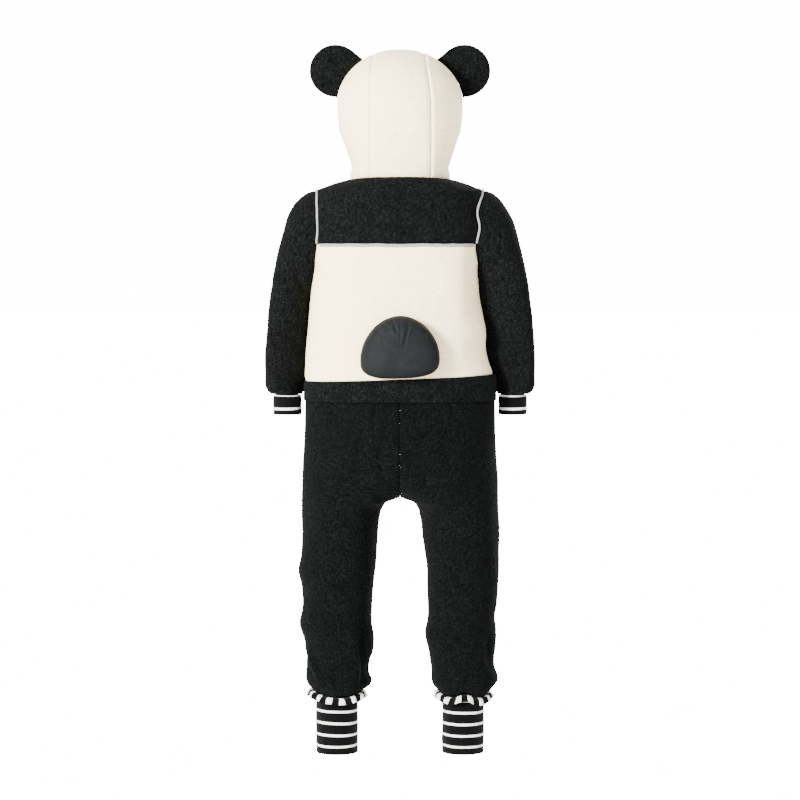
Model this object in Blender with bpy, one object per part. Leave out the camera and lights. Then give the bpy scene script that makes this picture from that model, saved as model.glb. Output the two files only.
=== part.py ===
"""Panda onesie: hooded fleece body with padded ears, sherpa sleeves and trousers, rib cuffs.

The garment is hollow and filled out as it is when worn.  Tables and sizes are in millimetres
and turn to metres when a mesh is made.  +Z is up and the wearer faces -Y, so the back looks
along +Y and the wearer's left is +X.  The origin is the centre of the neck opening, level
with the neck seam at the sides.
"""
import math

import bmesh
import bpy
import numpy as np

MM = 0.001
SEAM = 0.3                  # gap between two pieces that are sewn together

SHERPA_THICK = 3.0
FLEECE_THICK = 2.6
RIB_THICK = 1.6
FRILL_THICK = 1.2
MITRE_LIMIT = 1.6           # longest wall edge at a corner seam, in wall thicknesses

# ---------------------------------------------------------------- torso
SHOULDER_TIP_Z = -15.0
UNDERARM_Z = -117.0
ARMHOLE_HALF_DEPTH = 44.0
YOKE_SEAM_Z = -87.5
WAIST_SEAM_Z = -267.2
BAND_BOTTOM_Z = -298.0
BAND_PROUD = 1.5            # how far the hem band stands out from the panels above it
TORSO_FULLNESS = 2.4        # exponent of the horizontal sections, 2 is an ellipse
NECK_FRONT_DROP = 29.0      # how much lower the rows hang at centre front, at the shoulder tip
NECK_BACK_DROP = 3.0
WAIST_LEAN = 0.035          # the waist seam's slope, lower on the wearer's left
LEAN_FROM_Z = -125.0        # no lean above this height, full lean at the waist seam

# Rows from the neck seam out to the shoulder tip.
#            side_x side_z back_y back_z front_y front_z
SHOULDER = (
    (88.0, -6.0, 65.0, -4.0, 64.4, -32.5),
    (99.5, -10.5, 69.0, -10.5, 65.8, -38.0),
    (111.0, -15.0, 72.0, -18.0, 67.3, -44.0),
)
# Armhole seam seen from behind, and the sides below it down to the band's bottom.
#         z       half_width
SIDE = (
    (-15.0, 111.0),
    (-49.0, 110.0),
    (-76.0, 109.8),
    (-91.0, 111.8),
    (-101.0, 113.3),
    (-117.0, 115.7),
    (-136.0, 118.3),
    (-179.0, 122.6),
    (-222.5, 126.3),
    (-246.0, 127.7),
    (-266.0, 128.3),
    (-302.0, 128.6),
)
# Depth of the centre back and centre front from the side seam's plane.
#         z      back   front
DEPTH = (
    (-18.0, 72.0, 63.0),
    (-44.0, 76.5, 67.5),
    (-87.5, 80.0, 72.5),
    (-130.0, 80.5, 75.5),
    (-180.0, 79.5, 78.0),
    (-230.0, 82.0, 79.5),
    (-268.7, 86.0, 79.5),
    (-302.0, 87.5, 79.0),
)

# ---------------------------------------------------------------- sleeves
# Rings from the armhole to the gathered hem.  lean turns each ring's innermost point
# towards the front, where the sleeve lies beside the panel as it rounds away.
#         out_x   out_z    in_x    in_z   half_depth mid_y lean
SLEEVE = (
    (126.0, -19.0, 118.6, -121.5, 43.5, 0.0, 0.0),
    (139.0, -30.0, 119.6, -128.0, 43.0, -1.0, 3.0),
    (150.5, -48.0, 120.2, -137.5, 42.5, -2.5, 7.0),
    (158.0, -71.0, 120.8, -150.0, 42.0, -4.5, 12.0),
    (164.5, -97.0, 121.4, -166.0, 41.0, -6.5, 18.0),
    (170.0, -124.0, 122.0, -183.0, 40.0, -8.5, 24.0),
    (174.5, -151.0, 122.5, -201.0, 38.5, -10.5, 29.0),
    (178.0, -179.0, 123.2, -220.0, 37.0, -12.0, 33.0),
    (180.5, -207.0, 123.8, -239.0, 35.5, -13.0, 35.0),
    (182.0, -235.0, 124.8, -257.0, 34.0, -13.5, 35.0),
    (182.5, -262.0, 127.8, -273.0, 33.0, -13.5, 33.0),
    (182.0, -280.5, 130.8, -285.5, 32.0, -13.5, 26.0),
    (178.0, -288.0, 134.0, -290.5, 28.5, -13.5, 14.0),
    (168.5, -290.0, 137.0, -291.5, 18.5, -13.5, 0.0),
)
UNDERARM_EASE = 1.0         # how much wider the armhole's seam gap is underarm than on top
SLEEVE_CUFF_TOP_Z = -292.0
SLEEVE_CUFF_LENGTH = 24.5
SLEEVE_CUFF_OUT_X = 171.0
SLEEVE_CUFF_IN_X = 134.3
SLEEVE_CUFF_HALF_DEPTH = 20.5
SLEEVE_CUFF_Y = -13.5

# ---------------------------------------------------------------- hood
POLE_Z = 102.0              # the hood's side-to-side axis, level with the widest part
HOOD_HALF_WIDTH = 84.5
STRIP_HALF_WIDTH = 41.0
STRIP_HALF_AT_CROWN = 35.0
# Reach from the axis, by the angle turned from straight up towards the back, and the
# exponent that rounds the hood's sides there.
#         angle   reach  fullness
HOOD = (
    (-75.0, 80.0, 2.1),
    (-40.0, 75.0, 2.0),
    (0.0, 71.7, 2.0),
    (40.0, 82.0, 2.05),
    (75.0, 95.0, 2.15),
    (105.0, 99.0, 2.3),
    (130.0, 104.0, 2.5),
    (148.9, 115.9, 2.6),
    (165.0, 134.0, 2.5),
    (180.0, 152.0, 2.3),
    (195.0, 150.0, 2.3),
    (206.0, 143.7, 2.2),
    (225.0, 136.0, 2.2),
    (285.0, 96.0, 2.1),
)
FOREHEAD_ANGLE = -60.0
NAPE_ANGLE = 148.9
CROWN_SPLIT_ANGLE = 58.0    # where the side panel's top edge turns into its back edge
NECK_BACK_Y = 59.85
NECK_BACK_Z = 2.75
NECK_FRONT_Y = 63.0
NECK_FRONT_Z = -27.2
NECK_CHIN_X = 9.0           # the hood's front corners stop beside the zip
FACE_BULGE = (-92.0, 62.0)   # y and z that the face edge is drawn towards between its ends
NECK_GAP = 0.7              # the flat faces of hood and yoke clear each other round the neck
NECK_WALL_SLOPE = 38.0      # degrees below level of the walls' edges at the neck seam

EAR_CENTRE = (87.0, -3.0, 146.6)
EAR_RADIUS = 35.0
EAR_TURNS = (136.0, -94.0)  # where the ear's rim leaves the hood and comes back to it
EAR_FILL = 15.0             # thickness of the padded ear at its middle
EAR_RIM = 4.0
EAR_FOOT_X = (49.0, 84.3)   # where the ear's foot starts and ends on the hood
EAR_LIFT = 0.8              # clears the hood's curve across the foot

# ---------------------------------------------------------------- trousers
WAIST_TUCK = 1.8            # the trousers' top lies this far inside the panels' outer face
# One row for each section of a leg.  inner_turn runs from 0, where the row ends at the
# centre seam, to 1, where it ends at the inseam.
#         side_x side_z  inner_x inner_z inner_turn back  front fullness
LEG = (
    (127.2, -273.0, 0.0, -273.0, 0.0, 85.2, 78.5, 2.4),
    (127.8, -298.0, 0.0, -298.0, 0.0, 86.9, 78.7, 2.4),
    (129.0, -340.0, 0.0, -342.0, 0.0, 87.5, 77.5, 2.4),
    (130.5, -374.0, 0.0, -378.0, 0.08, 86.5, 76.0, 2.4),
    (131.8, -396.0, 0.0, -403.0, 0.24, 84.5, 74.0, 2.35),
    (132.5, -413.0, 0.0, -418.5, 0.46, 82.0, 72.0, 2.3),
    (132.8, -426.0, 0.0, -427.0, 0.74, 79.0, 70.0, 2.25),
    (133.0, -437.0, 1.2, -430.0, 1.0, 76.0, 68.5, 2.2),
    (133.0, -448.0, 10.0, -432.3, 1.0, 73.5, 67.0, 2.2),
    (132.8, -458.0, 18.5, -436.0, 1.0, 71.5, 65.5, 2.2),
    (132.6, -467.0, 24.5, -444.5, 1.0, 69.5, 64.5, 2.2),
    (132.4, -478.0, 28.5, -461.0, 1.0, 67.5, 63.0, 2.2),
    (133.2, -498.0, 31.0, -490.0, 1.0, 64.5, 60.5, 2.2),
    (134.4, -524.0, 32.8, -521.0, 1.0, 60.5, 57.5, 2.2),
    (133.2, -550.0, 36.0, -549.0, 1.0, 57.5, 55.0, 2.2),
    (131.5, -577.0, 38.0, -577.0, 1.0, 55.0, 52.5, 2.2),
    (131.5, -601.0, 38.8, -601.0, 1.0, 52.5, 50.5, 2.2),
    (130.0, -623.0, 37.2, -623.0, 1.0, 50.5, 48.5, 2.2),
    (127.3, -645.0, 40.0, -645.0, 1.0, 48.5, 46.5, 2.2),
    (127.5, -667.0, 43.0, -667.0, 1.0, 47.0, 45.0, 2.2),
    (127.0, -685.0, 43.5, -685.0, 1.0, 45.5, 44.0, 2.2),
    (123.0, -694.7, 48.0, -695.2, 1.0, 41.0, 40.0, 2.1),
    (114.5, -697.7, 56.5, -698.0, 1.0, 32.5, 32.0, 2.0),
)
HEM_BOW = 6.0               # how much higher hem and frill lie at the sides than front and back
BOW_TOP_Z = -640.0
FOLDS_TOP_Z = -495.0        # below this the legs hang in folds, and have twice the rows
# Folds that show in the legs' outlines, each a low swelling or hollow round one seam.
#   leg, seam, height of its middle, half of its height, how far it stands out
LEG_FOLDS = (
    (1, "side", -530.0, 14.0, 3.5),
    (1, "side", -602.0, 15.0, 5.0),
    (1, "inside", -686.0, 12.0, 3.5),
    (-1, "side", -478.0, 26.0, 2.2),
    (-1, "side", -594.0, 13.0, -3.0),
    (-1, "side", -680.0, 14.0, 5.5),
    (-1, "inside", -522.0, 26.0, -3.5),
    (-1, "inside", -612.0, 16.0, 3.5),
)
LEG_CUFF_TOP_Z = -698.7
LEG_CUFF_LENGTH = 78.3
LEG_CUFF_CENTRE_X = 85.8
LEG_CUFF_HALF_WIDTH = 28.1
LEG_CUFF_HALF_DEPTH = 31.0
CUFF_FULLNESS = 2.1         # exponent of the cuffs' sections
FRILL_WAVES = 15
#   out from the cuff, drop, swing outwards, swing upwards, from the sewn edge to the free one
FRILL = (
    (0.7, 0.0, 0.0, 0.0),
    (10.0, 1.6, 1.0, 0.2),
    (12.6, 8.6, 2.2, 1.0),
)

# ---------------------------------------------------------------- tail, trims, zip
TAIL_HALF_WIDTH = 52.8
TAIL_TOP_Z = -182.0
TAIL_BOTTOM_Z = -265.0
TAIL_FOOT_SHARE = 0.31      # how far up its height the tail is widest
TAIL_DOME = 2.2             # exponents of its outline above and below that
TAIL_FOOT = 2.5
TAIL_STANDS_OUT = 40.0
TAIL_LIFT = 0.7             # gap that lets the tail's flat faces clear the curved panel
TRIM_THICK = 1.5
ARMHOLE_TRIM_WIDTH = 3.8
ARMHOLE_TRIM_LIFT = 1.8    # clears the fold between panel and sleeve
YOKE_TRIM_WIDTH = 3.4
YOKE_TRIM_LIFT = 0.35

ZIP_HALF_WIDTH = 6.0
ZIP_CHAIN_HALF = 2.4
ZIP_CHAIN_RISE = 1.5
ZIP_TAPE_THICK = 1.6
SLIDER_Z = -40.0            # middle of the slider, just below the neck
SLIDER_WIDTH = 9.0
SLIDER_LENGTH = 10.0
SLIDER_THICK = 2.4
PULL_WIDTH = 5.0
PULL_LENGTH = 21.0
PULL_THICK = 1.3


# ================================================================ curves and grids
def column(table, index):
    """One column of a table, as an array."""
    return np.array([row[index] for row in table])


def smooth(at, keys, values):
    """Cubic curve through a table's values, with keys that rise or fall steadily."""
    at = np.asarray(at, dtype=float)
    if keys[0] > keys[-1]:
        keys, values = keys[::-1], values[::-1]
    slope = np.gradient(values, keys)
    at = np.clip(at, keys[0], keys[-1])
    k = np.clip(np.searchsorted(keys, at, side="right") - 1, 0, len(keys) - 2)
    step = keys[k + 1] - keys[k]
    t = (at - keys[k]) / step
    return (
        values[k] * (1 + 2 * t) * (1 - t) ** 2
        + slope[k] * step * t * (1 - t) ** 2
        + values[k + 1] * t * t * (3 - 2 * t)
        + slope[k + 1] * step * t * t * (t - 1)
    )


def from_table(table, index, at):
    """A table's column as a smooth curve over its first column."""
    return smooth(at, column(table, 0), column(table, index))


def stack(*parts):
    """Coordinates x, y, z joined as points, after they are brought to one shape."""
    return np.stack(np.broadcast_arrays(*parts), axis=-1).astype(float)


def unit(vectors):
    """Vectors brought to length one."""
    return vectors / np.maximum(np.linalg.norm(vectors, axis=-1, keepdims=True), 1e-9)


def power(value, exponent):
    """Signed power, which rounds a circle's sine and cosine into a fuller section."""
    return np.sign(value) * np.abs(value) ** exponent


def normals(grid, wrap=False, away_from=None):
    """Unit normals of a grid of points, turned away from a point inside the garment."""
    if wrap:
        across = np.roll(grid, -1, axis=1) - np.roll(grid, 1, axis=1)
    else:
        across = np.gradient(grid, axis=1)
    facing = unit(np.cross(np.gradient(grid, axis=0), across))
    middle = grid.mean(axis=(0, 1)) if away_from is None else np.asarray(away_from)
    if (facing * (grid - middle)).sum() < 0:
        facing = -facing
    return facing


def mitre(first, second):
    """Direction of a shared wall edge between two outward normals, with its stretch."""
    middle = unit(first + second)
    along = np.maximum((middle * first).sum(axis=-1, keepdims=True), 1.0 / MITRE_LIMIT)
    return middle / along


# ================================================================ meshes
def material(name, colour, roughness, metallic=0.0):
    """A plain Principled material, made once."""
    found = bpy.data.materials.get(name)
    if found:
        return found
    made = bpy.data.materials.new(name)
    made.use_nodes = True
    shader = made.node_tree.nodes["Principled BSDF"]
    shader.inputs["Base Color"].default_value = (*colour, 1.0)
    shader.inputs["Roughness"].default_value = roughness
    shader.inputs["Metallic"].default_value = metallic
    return made


def add_mesh(name, points, faces, finish, parent=None, origin=(0.0, 0.0, 0.0)):
    """An object from points in millimetres, with its faces turned outwards."""
    mesh = bpy.data.meshes.new(name)
    placed = (np.asarray(points) - np.asarray(origin)) * MM
    mesh.from_pydata(placed.tolist(), [], faces)
    shape = bmesh.new()
    shape.from_mesh(mesh)
    bmesh.ops.recalc_face_normals(shape, faces=shape.faces[:])
    shape.to_mesh(mesh)
    shape.free()
    mesh.shade_smooth()
    mesh.set_sharp_from_angle(angle=math.radians(50))
    thing = bpy.data.objects.new(name, mesh)
    thing.location = [value * MM for value in origin]
    bpy.context.collection.objects.link(thing)
    mesh.materials.append(material(*finish))
    thing.parent = parent
    return thing


def grid_faces(rows, cols, start, wrap):
    """Quads of a grid whose points are numbered row by row from start."""
    faces = []
    last = cols if wrap else cols - 1
    for row in range(rows - 1):
        for col in range(last):
            nxt = (col + 1) % cols
            low = start + row * cols
            faces.append((low + col, low + nxt, low + cols + nxt, low + cols + col))
    return faces


def wall(name, outer, inner, finish, wrap=False):
    """A closed wall between an outer and an inner grid, open at its ends if it wraps."""
    rows, cols = outer.shape[:2]
    count = rows * cols
    faces = grid_faces(rows, cols, 0, wrap) + grid_faces(rows, cols, count, wrap)
    rims = [[(row, col) for col in range(cols)] for row in (0, rows - 1)]
    if wrap:
        rims = [rim + rim[:1] for rim in rims]
    else:
        rims += [[(row, col) for row in range(rows)] for col in (0, cols - 1)]
    for rim in rims:
        for one, two in zip(rim, rim[1:]):
            a = one[0] * cols + one[1]
            b = two[0] * cols + two[1]
            faces.append((a, b, b + count, a + count))
    points = np.concatenate([outer.reshape(-1, 3), inner.reshape(-1, 3)])
    return add_mesh(name, points, faces, finish)


def loft(name, rings, finish, **placing):
    """A closed solid through a stack of rings, with a flat face on its first and last."""
    rows, cols = rings.shape[:2]
    faces = grid_faces(rows, cols, 0, True)
    faces.append(tuple(range(cols)))
    faces.append(tuple(range((rows - 1) * cols, rows * cols)))
    return add_mesh(name, rings.reshape(-1, 3), faces, finish, **placing)


def ribbon(name, path, facing, width, thick, lift, finish):
    """A low rounded band along a path, lying on the side that facing points to."""
    along = unit(np.gradient(path, axis=0))
    across = unit(np.cross(along, facing))
    #        across  height
    profile = ((-0.5, 0.0), (-0.5, 0.55), (-0.28, 1.0), (0.28, 1.0), (0.5, 0.55), (0.5, 0.0))
    rings = [
        path + across * side * width + facing * (lift + high * thick) for side, high in profile
    ]
    return loft(name, np.stack(rings, axis=1), finish)


SHERPA = ("sherpa_black", (0.014, 0.016, 0.015), 0.95)
FLEECE = ("fleece_cream", (0.87, 0.82, 0.74), 0.95)
RIB = ("rib_striped", (0.03, 0.03, 0.03), 0.85)
NYLON = ("nylon_slate", (0.045, 0.055, 0.06), 0.5)
TAPE = ("edge_tape_grey", (0.6, 0.58, 0.54), 0.8)
ZIP_TAPE = ("zip_tape_black", (0.02, 0.02, 0.02), 0.8)
METAL = ("zip_metal", (0.6, 0.6, 0.6), 0.35, 1.0)


def mirrored(side, *grids):
    """Grids turned to the other side of the garment where side is -1."""
    turned = [grid * np.array([side, 1.0, 1.0]) for grid in grids]
    return turned if len(turned) > 1 else turned[0]


# ================================================================ hood form
def hood_reach(angle):
    """Hood's reach from its side-to-side axis at an angle, 0 up and 90 to the back."""
    return from_table(HOOD, 1, angle)


def hood_x(y, z):
    """How far to the side the hood's surface lies at a place in its side view."""
    angle = np.degrees(np.arctan2(y, z - POLE_Z))
    angle = np.where(angle < HOOD[0][0], angle + 360.0, angle)
    fullness = from_table(HOOD, 2, angle)
    share = np.hypot(y, z - POLE_Z) / hood_reach(angle)
    return HOOD_HALF_WIDTH * np.maximum(1 - share**fullness, 0.0) ** (1 / fullness)


def hood_point(angle, x):
    """Point of the hood's surface at an angle round the axis and a place to the side."""
    angle, x = np.broadcast_arrays(np.asarray(angle, dtype=float), np.asarray(x, dtype=float))
    fullness = from_table(HOOD, 2, angle)
    share = (1 - (np.abs(x) / HOOD_HALF_WIDTH) ** fullness) ** (1 / fullness)
    reach = hood_reach(angle) * share
    turn = np.radians(angle)
    return stack(x, reach * np.sin(turn), POLE_Z + reach * np.cos(turn))


def hood_normal(points, step=0.4):
    """Outward normals of the hood's form, from how fast its equation grows each way."""
    def form(place):
        angle = np.degrees(np.arctan2(place[..., 1], place[..., 2] - POLE_Z))
        angle = np.where(angle < HOOD[0][0], angle + 360.0, angle)
        fullness = from_table(HOOD, 2, angle)
        reach = np.hypot(place[..., 1], place[..., 2] - POLE_Z) / hood_reach(angle)
        return (np.abs(place[..., 0]) / HOOD_HALF_WIDTH) ** fullness + reach**fullness

    axes = np.eye(3) * step
    return unit(np.stack([form(points + axis) - form(points - axis) for axis in axes], axis=-1))


def neck_point(turn):
    """Neck seam, by the turn from centre back (0) over the side (90) to the front (180)."""
    turn = np.radians(np.asarray(turn, dtype=float))
    back = np.cos(turn) > 0
    y = np.where(back, NECK_BACK_Y, NECK_FRONT_Y) * np.cos(turn)
    z = np.where(back, NECK_BACK_Z, NECK_FRONT_Z) * np.abs(np.cos(turn)) ** 1.6
    return stack(hood_x(y, z), y, z)


def neck_edge(points):
    """Outward direction of the wall edges at the neck seam, out and up from the opening."""
    flat = unit(points * np.array([1.0, 1.0, 0.0]))
    slope = math.radians(NECK_WALL_SLOPE)
    return flat * math.cos(slope) + np.array([0.0, 0.0, math.sin(slope)])


def neck_turn_at(x, back=True):
    """Turn of the neck seam where its back or front half reaches a place to the side."""
    away = np.linspace(0.0, 90.0, 361)
    turns = away if back else 180.0 - away
    return np.interp(x, neck_point(turns)[:, 0], turns)


def strip_half_width(angle):
    """Half width of the hood's centre strip, narrower over the crown."""
    share = np.clip(np.asarray(angle, dtype=float) / 75.0, 0.0, 1.0)
    return STRIP_HALF_AT_CROWN + (STRIP_HALF_WIDTH - STRIP_HALF_AT_CROWN) * share


def round_angle(points):
    """Angle of points round the hood's axis, 0 up and 90 to the back."""
    return np.degrees(np.arctan2(points[..., 1], points[..., 2] - POLE_Z))


def add_hood_centre(rows=21, cols=7):
    """Centre strip, from the forehead over the crown to the nape."""
    share = np.linspace(-1.0, 1.0, cols)
    foot = neck_point(neck_turn_at(np.abs(share) * STRIP_HALF_WIDTH))
    down = np.linspace(0.0, 1.0, rows)[:, None]
    angle = FOREHEAD_ANGLE + (round_angle(foot)[None, :] - FOREHEAD_ANGLE) * down
    grid = hood_point(angle, share * strip_half_width(angle))
    out = hood_normal(grid)
    grid[-1, :, 2] += NECK_GAP / 2
    out[-1] = neck_edge(grid[-1])
    wall("hood_centre", grid, grid - out * FLEECE_THICK, FLEECE)


def hood_side_grid(rows=11, cols=11):
    """Side panel as a patch in side view, lifted onto the hood's surface."""
    across = np.linspace(0.0, 1.0, cols)
    down = np.linspace(0.0, 1.0, rows)
    foot_turn = neck_turn_at(STRIP_HALF_WIDTH + SEAM)
    nape = float(round_angle(neck_point(foot_turn)))
    chin_turn = float(neck_turn_at(NECK_CHIN_X, back=False))

    def seam(angle):
        return hood_point(angle, strip_half_width(angle) + SEAM)[..., 1:]

    top = seam(FOREHEAD_ANGLE + (CROWN_SPLIT_ANGLE - FOREHEAD_ANGLE) * across)
    back = seam(CROWN_SPLIT_ANGLE + (nape - CROWN_SPLIT_ANGLE) * down)
    foot = neck_point(chin_turn + (foot_turn - chin_turn) * across)[..., 1:]
    bulge = np.array(FACE_BULGE)
    t = down[:, None]
    face = top[0] * (1 - t) ** 2 + bulge * 2 * t * (1 - t) + foot[0] * t * t
    u = across[None, :, None]
    v = down[:, None, None]
    patch = (1 - v) * top[None] + v * foot[None] + (1 - u) * face[:, None] + u * back[:, None]
    corners = (
        (1 - u) * (1 - v) * top[0] + u * (1 - v) * top[-1]
        + (1 - u) * v * foot[0] + u * v * foot[-1]
    )
    patch = patch - corners
    return stack(hood_x(patch[..., 0], patch[..., 1]), patch[..., 0], patch[..., 1])


def add_hood_side(name, side):
    """One side panel of the hood, from the strip's seam to the neck and the face edge."""
    grid = hood_side_grid()
    out = hood_normal(grid)
    grid[-1, :, 2] += NECK_GAP / 2
    out[-1] = neck_edge(grid[-1])
    grid, out = mirrored(side, grid, out)
    wall(name, grid, grid - out * FLEECE_THICK, FLEECE)


def add_ear(name, side, around=17, outwards=7):
    """Padded ear: two layers sewn round a circle, its foot curved to the hood."""
    centre = np.array(EAR_CENTRE)
    foot_x = EAR_FOOT_X[0] + (EAR_FOOT_X[1] - EAR_FOOT_X[0]) * np.linspace(0, 1, around) ** 0.6
    turn = np.radians(np.linspace(*EAR_TURNS, around))
    rim = stack(np.cos(turn), 0.0, np.sin(turn)) * EAR_RADIUS + centre
    foot = hood_point(0.0, foot_x)
    foot = foot + hood_normal(foot) * EAR_LIFT + np.array([0.0, centre[1], 0.0])
    down = np.linspace(0.0, 1.0, outwards)[:, None, None]
    sheet = foot[None] * (1 - down) + rim[None] * down
    along = np.sin(np.linspace(0.0, math.pi, around))[None, :] ** 0.6
    rise = np.sin(np.linspace(0.12, 1.0, outwards) * math.pi)[:, None] ** 0.6
    half = (EAR_RIM + (EAR_FILL - EAR_RIM) * along * rise) / 2
    lift = stack(0.0, half, 0.0)
    back, front = mirrored(side, sheet + lift, sheet - lift)
    wall(name, back, front, SHERPA)


# ================================================================ torso
def section(side_x, side_y, depth, side_z, centre_z, start_x, cols):
    """Rows of a quarter of the torso, from centre back or front out to the side.

    Each row is part of a superellipse that runs through its place at the side.
    """
    side_x, side_y, depth, side_z, centre_z = (
        np.asarray(value, dtype=float)[:, None]
        for value in (side_x, side_y, depth, side_z, centre_z)
    )
    full = TORSO_FULLNESS
    side_y = np.maximum(side_y, SEAM / 2)
    width = side_x / (1 - (side_y / depth) ** full) ** (1 / full)
    last = np.arccos((side_y / depth) ** (full / 2))
    first = np.arcsin((start_x / width) ** (full / 2))
    turn = first + (last - first) * np.linspace(0.0, 1.0, cols)
    x = width * np.sin(turn) ** (2 / full)
    y = depth * np.cos(turn) ** (2 / full)
    z = centre_z + (side_z - centre_z) * (x / side_x) ** 2
    return stack(x, y, z)


def leant(points):
    """Points lowered on the wearer's left and raised on the right, most at the waist seam.

    The slope fades away up the panels and down the hem band.
    """
    z = points[..., 2]
    above = np.clip((LEAN_FROM_Z - z) / (LEAN_FROM_Z - WAIST_SEAM_Z), 0.0, 1.0)
    below = np.clip((z - BAND_BOTTOM_Z) / (WAIST_SEAM_Z - BAND_BOTTOM_Z), 0.0, 1.0)
    moved = points.copy()
    moved[..., 2] -= WAIST_LEAN * points[..., 0] * above**1.5 * below
    return moved


YOKE_TURN = math.degrees(
    math.acos((YOKE_SEAM_Z - (SHOULDER_TIP_Z + UNDERARM_Z) / 2) * 2 / (SHOULDER_TIP_Z - UNDERARM_Z))
)
YOKE_TURNS = np.linspace(0.0, YOKE_TURN, 7)
PANEL_TURNS = np.linspace(YOKE_TURN, 180.0, 5)
PANEL_ROWS_Z = np.linspace(UNDERARM_Z, WAIST_SEAM_Z, 7)[1:]


def armhole(turn):
    """Half depth and height of the armhole seam, 0 at the shoulder and 180 underarm."""
    middle = (SHOULDER_TIP_Z + UNDERARM_Z) / 2
    half = (SHOULDER_TIP_Z - UNDERARM_Z) / 2
    turn = np.radians(turn)
    return ARMHOLE_HALF_DEPTH * np.sin(turn), middle + half * np.cos(turn)


def yoke_grid(back, start_x, cols):
    """Outer points of half a yoke: neck row, shoulder rows, then down the armhole."""
    which = 2 if back else 4
    turns = YOKE_TURNS[1:]
    side_y, side_z = armhole(turns)
    drop = (NECK_BACK_DROP if back else NECK_FRONT_DROP) * (1 - turns / YOKE_TURN)
    side_x = np.concatenate([column(SHOULDER, 0), from_table(SIDE, 1, side_z)])
    depth = from_table(DEPTH, 1 if back else 2, side_z - drop)
    rows = section(
        side_x,
        np.concatenate([np.zeros(len(SHOULDER)), side_y]),
        np.concatenate([column(SHOULDER, which), depth]),
        np.concatenate([column(SHOULDER, 1), side_z]),
        np.concatenate([column(SHOULDER, which + 1), side_z - drop]),
        start_x,
        cols,
    )
    first = float(neck_turn_at(start_x, back)) if start_x else 0.0
    neck = neck_point(np.linspace(first, 89.9 if back else 90.1, cols))
    neck[:, 1] = np.abs(neck[:, 1])
    neck[:, 2] -= NECK_GAP / 2
    return np.concatenate([neck[None], rows])


def panel_grid(back, start_x, cols):
    """Outer points of half a body panel, from the yoke's seam to the waist seam."""
    side_y, side_z = armhole(PANEL_TURNS)
    side_z = np.concatenate([side_z, PANEL_ROWS_Z])
    side_y = np.concatenate([side_y, np.zeros(len(PANEL_ROWS_Z))])
    depth = from_table(DEPTH, 1 if back else 2, side_z)
    return section(from_table(SIDE, 1, side_z), side_y, depth, side_z, side_z, start_x, cols)


def whole_quarter(back, start_x, cols):
    """Yoke and panel rows as one surface, with its outward normals, on the wearer's left."""
    yoke = yoke_grid(back, start_x, cols)
    panel = panel_grid(back, start_x, cols)
    grid = np.concatenate([yoke, panel[1:]])
    out = normals(grid, away_from=(0, 0, -150))
    out[0] = neck_edge(grid[0])
    out[len(YOKE_TURNS) + 2 + len(PANEL_TURNS):, -1, 1] = 0.0
    out[1:len(SHOULDER), -1, 1] = 0.0
    out[:, 0, 0] = 0.0
    return grid, unit(out), len(yoke)


TIP_ROW = len(SHOULDER)
UNDERARM_ROW = TIP_ROW + len(YOKE_TURNS) - 1 + len(PANEL_TURNS) - 1
FRONT_START_X = ZIP_HALF_WIDTH + SEAM
QUARTER_COLS = 9


def armhole_turns():
    """Turns of the points round the armhole: down its back and up its front."""
    down = np.concatenate([YOKE_TURNS, PANEL_TURNS[1:]])
    return np.concatenate([down, 360.0 - down[-2:0:-1]])


def sleeve_grid():
    """Outer points of the wearer's left sleeve, from the armhole to the gathered hem."""
    turns = armhole_turns()
    loop_y, loop_z = armhole(turns)
    around = np.radians(turns)[None, :]
    gap = SEAM * (1.0 + UNDERARM_EASE * (1.0 - np.cos(around[0])) / 2)
    loop = stack(from_table(SIDE, 1, loop_z) + gap, loop_y, loop_z)
    out_x, out_z, in_x, in_z, deep, mid_y, lean = (
        column(SLEEVE, i)[:, None] for i in range(7)
    )
    share = (1 + np.cos(around - np.radians(lean))) / 2
    rings = stack(
        in_x + (out_x - in_x) * share,
        mid_y + deep * np.sin(around),
        in_z + (out_z - in_z) * share,
    )
    return np.concatenate([loop[None], rings])


def armhole_edges():
    """Shared directions of the wall edges round the armhole, for sleeve, back and front."""
    back = whole_quarter(True, 0.0, QUARTER_COLS)[1][TIP_ROW:UNDERARM_ROW + 1, -1]
    front = whole_quarter(False, FRONT_START_X, QUARTER_COLS)[1][TIP_ROW:UNDERARM_ROW + 1, -1]
    front = front * np.array([1.0, -1.0, 1.0])
    panels = np.concatenate([back, front[-2:0:-1]])
    sleeve = normals(sleeve_grid(), wrap=True)[0]
    shared = mitre(panels, sleeve)
    count = len(back)
    front_shared = np.concatenate([shared[:1], shared[:count - 2:-1]])
    return shared, shared[:count], front_shared * np.array([1.0, -1.0, 1.0])


def quarter_walls(back, start_x, thick):
    """Outer and inner points of a quarter of the body, and its count of yoke rows."""
    grid, out, yoke_rows = whole_quarter(back, start_x, QUARTER_COLS)
    edges = armhole_edges()[1 if back else 2]
    out[TIP_ROW:UNDERARM_ROW + 1, -1] = edges
    return grid, grid - out * thick, yoke_rows


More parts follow.
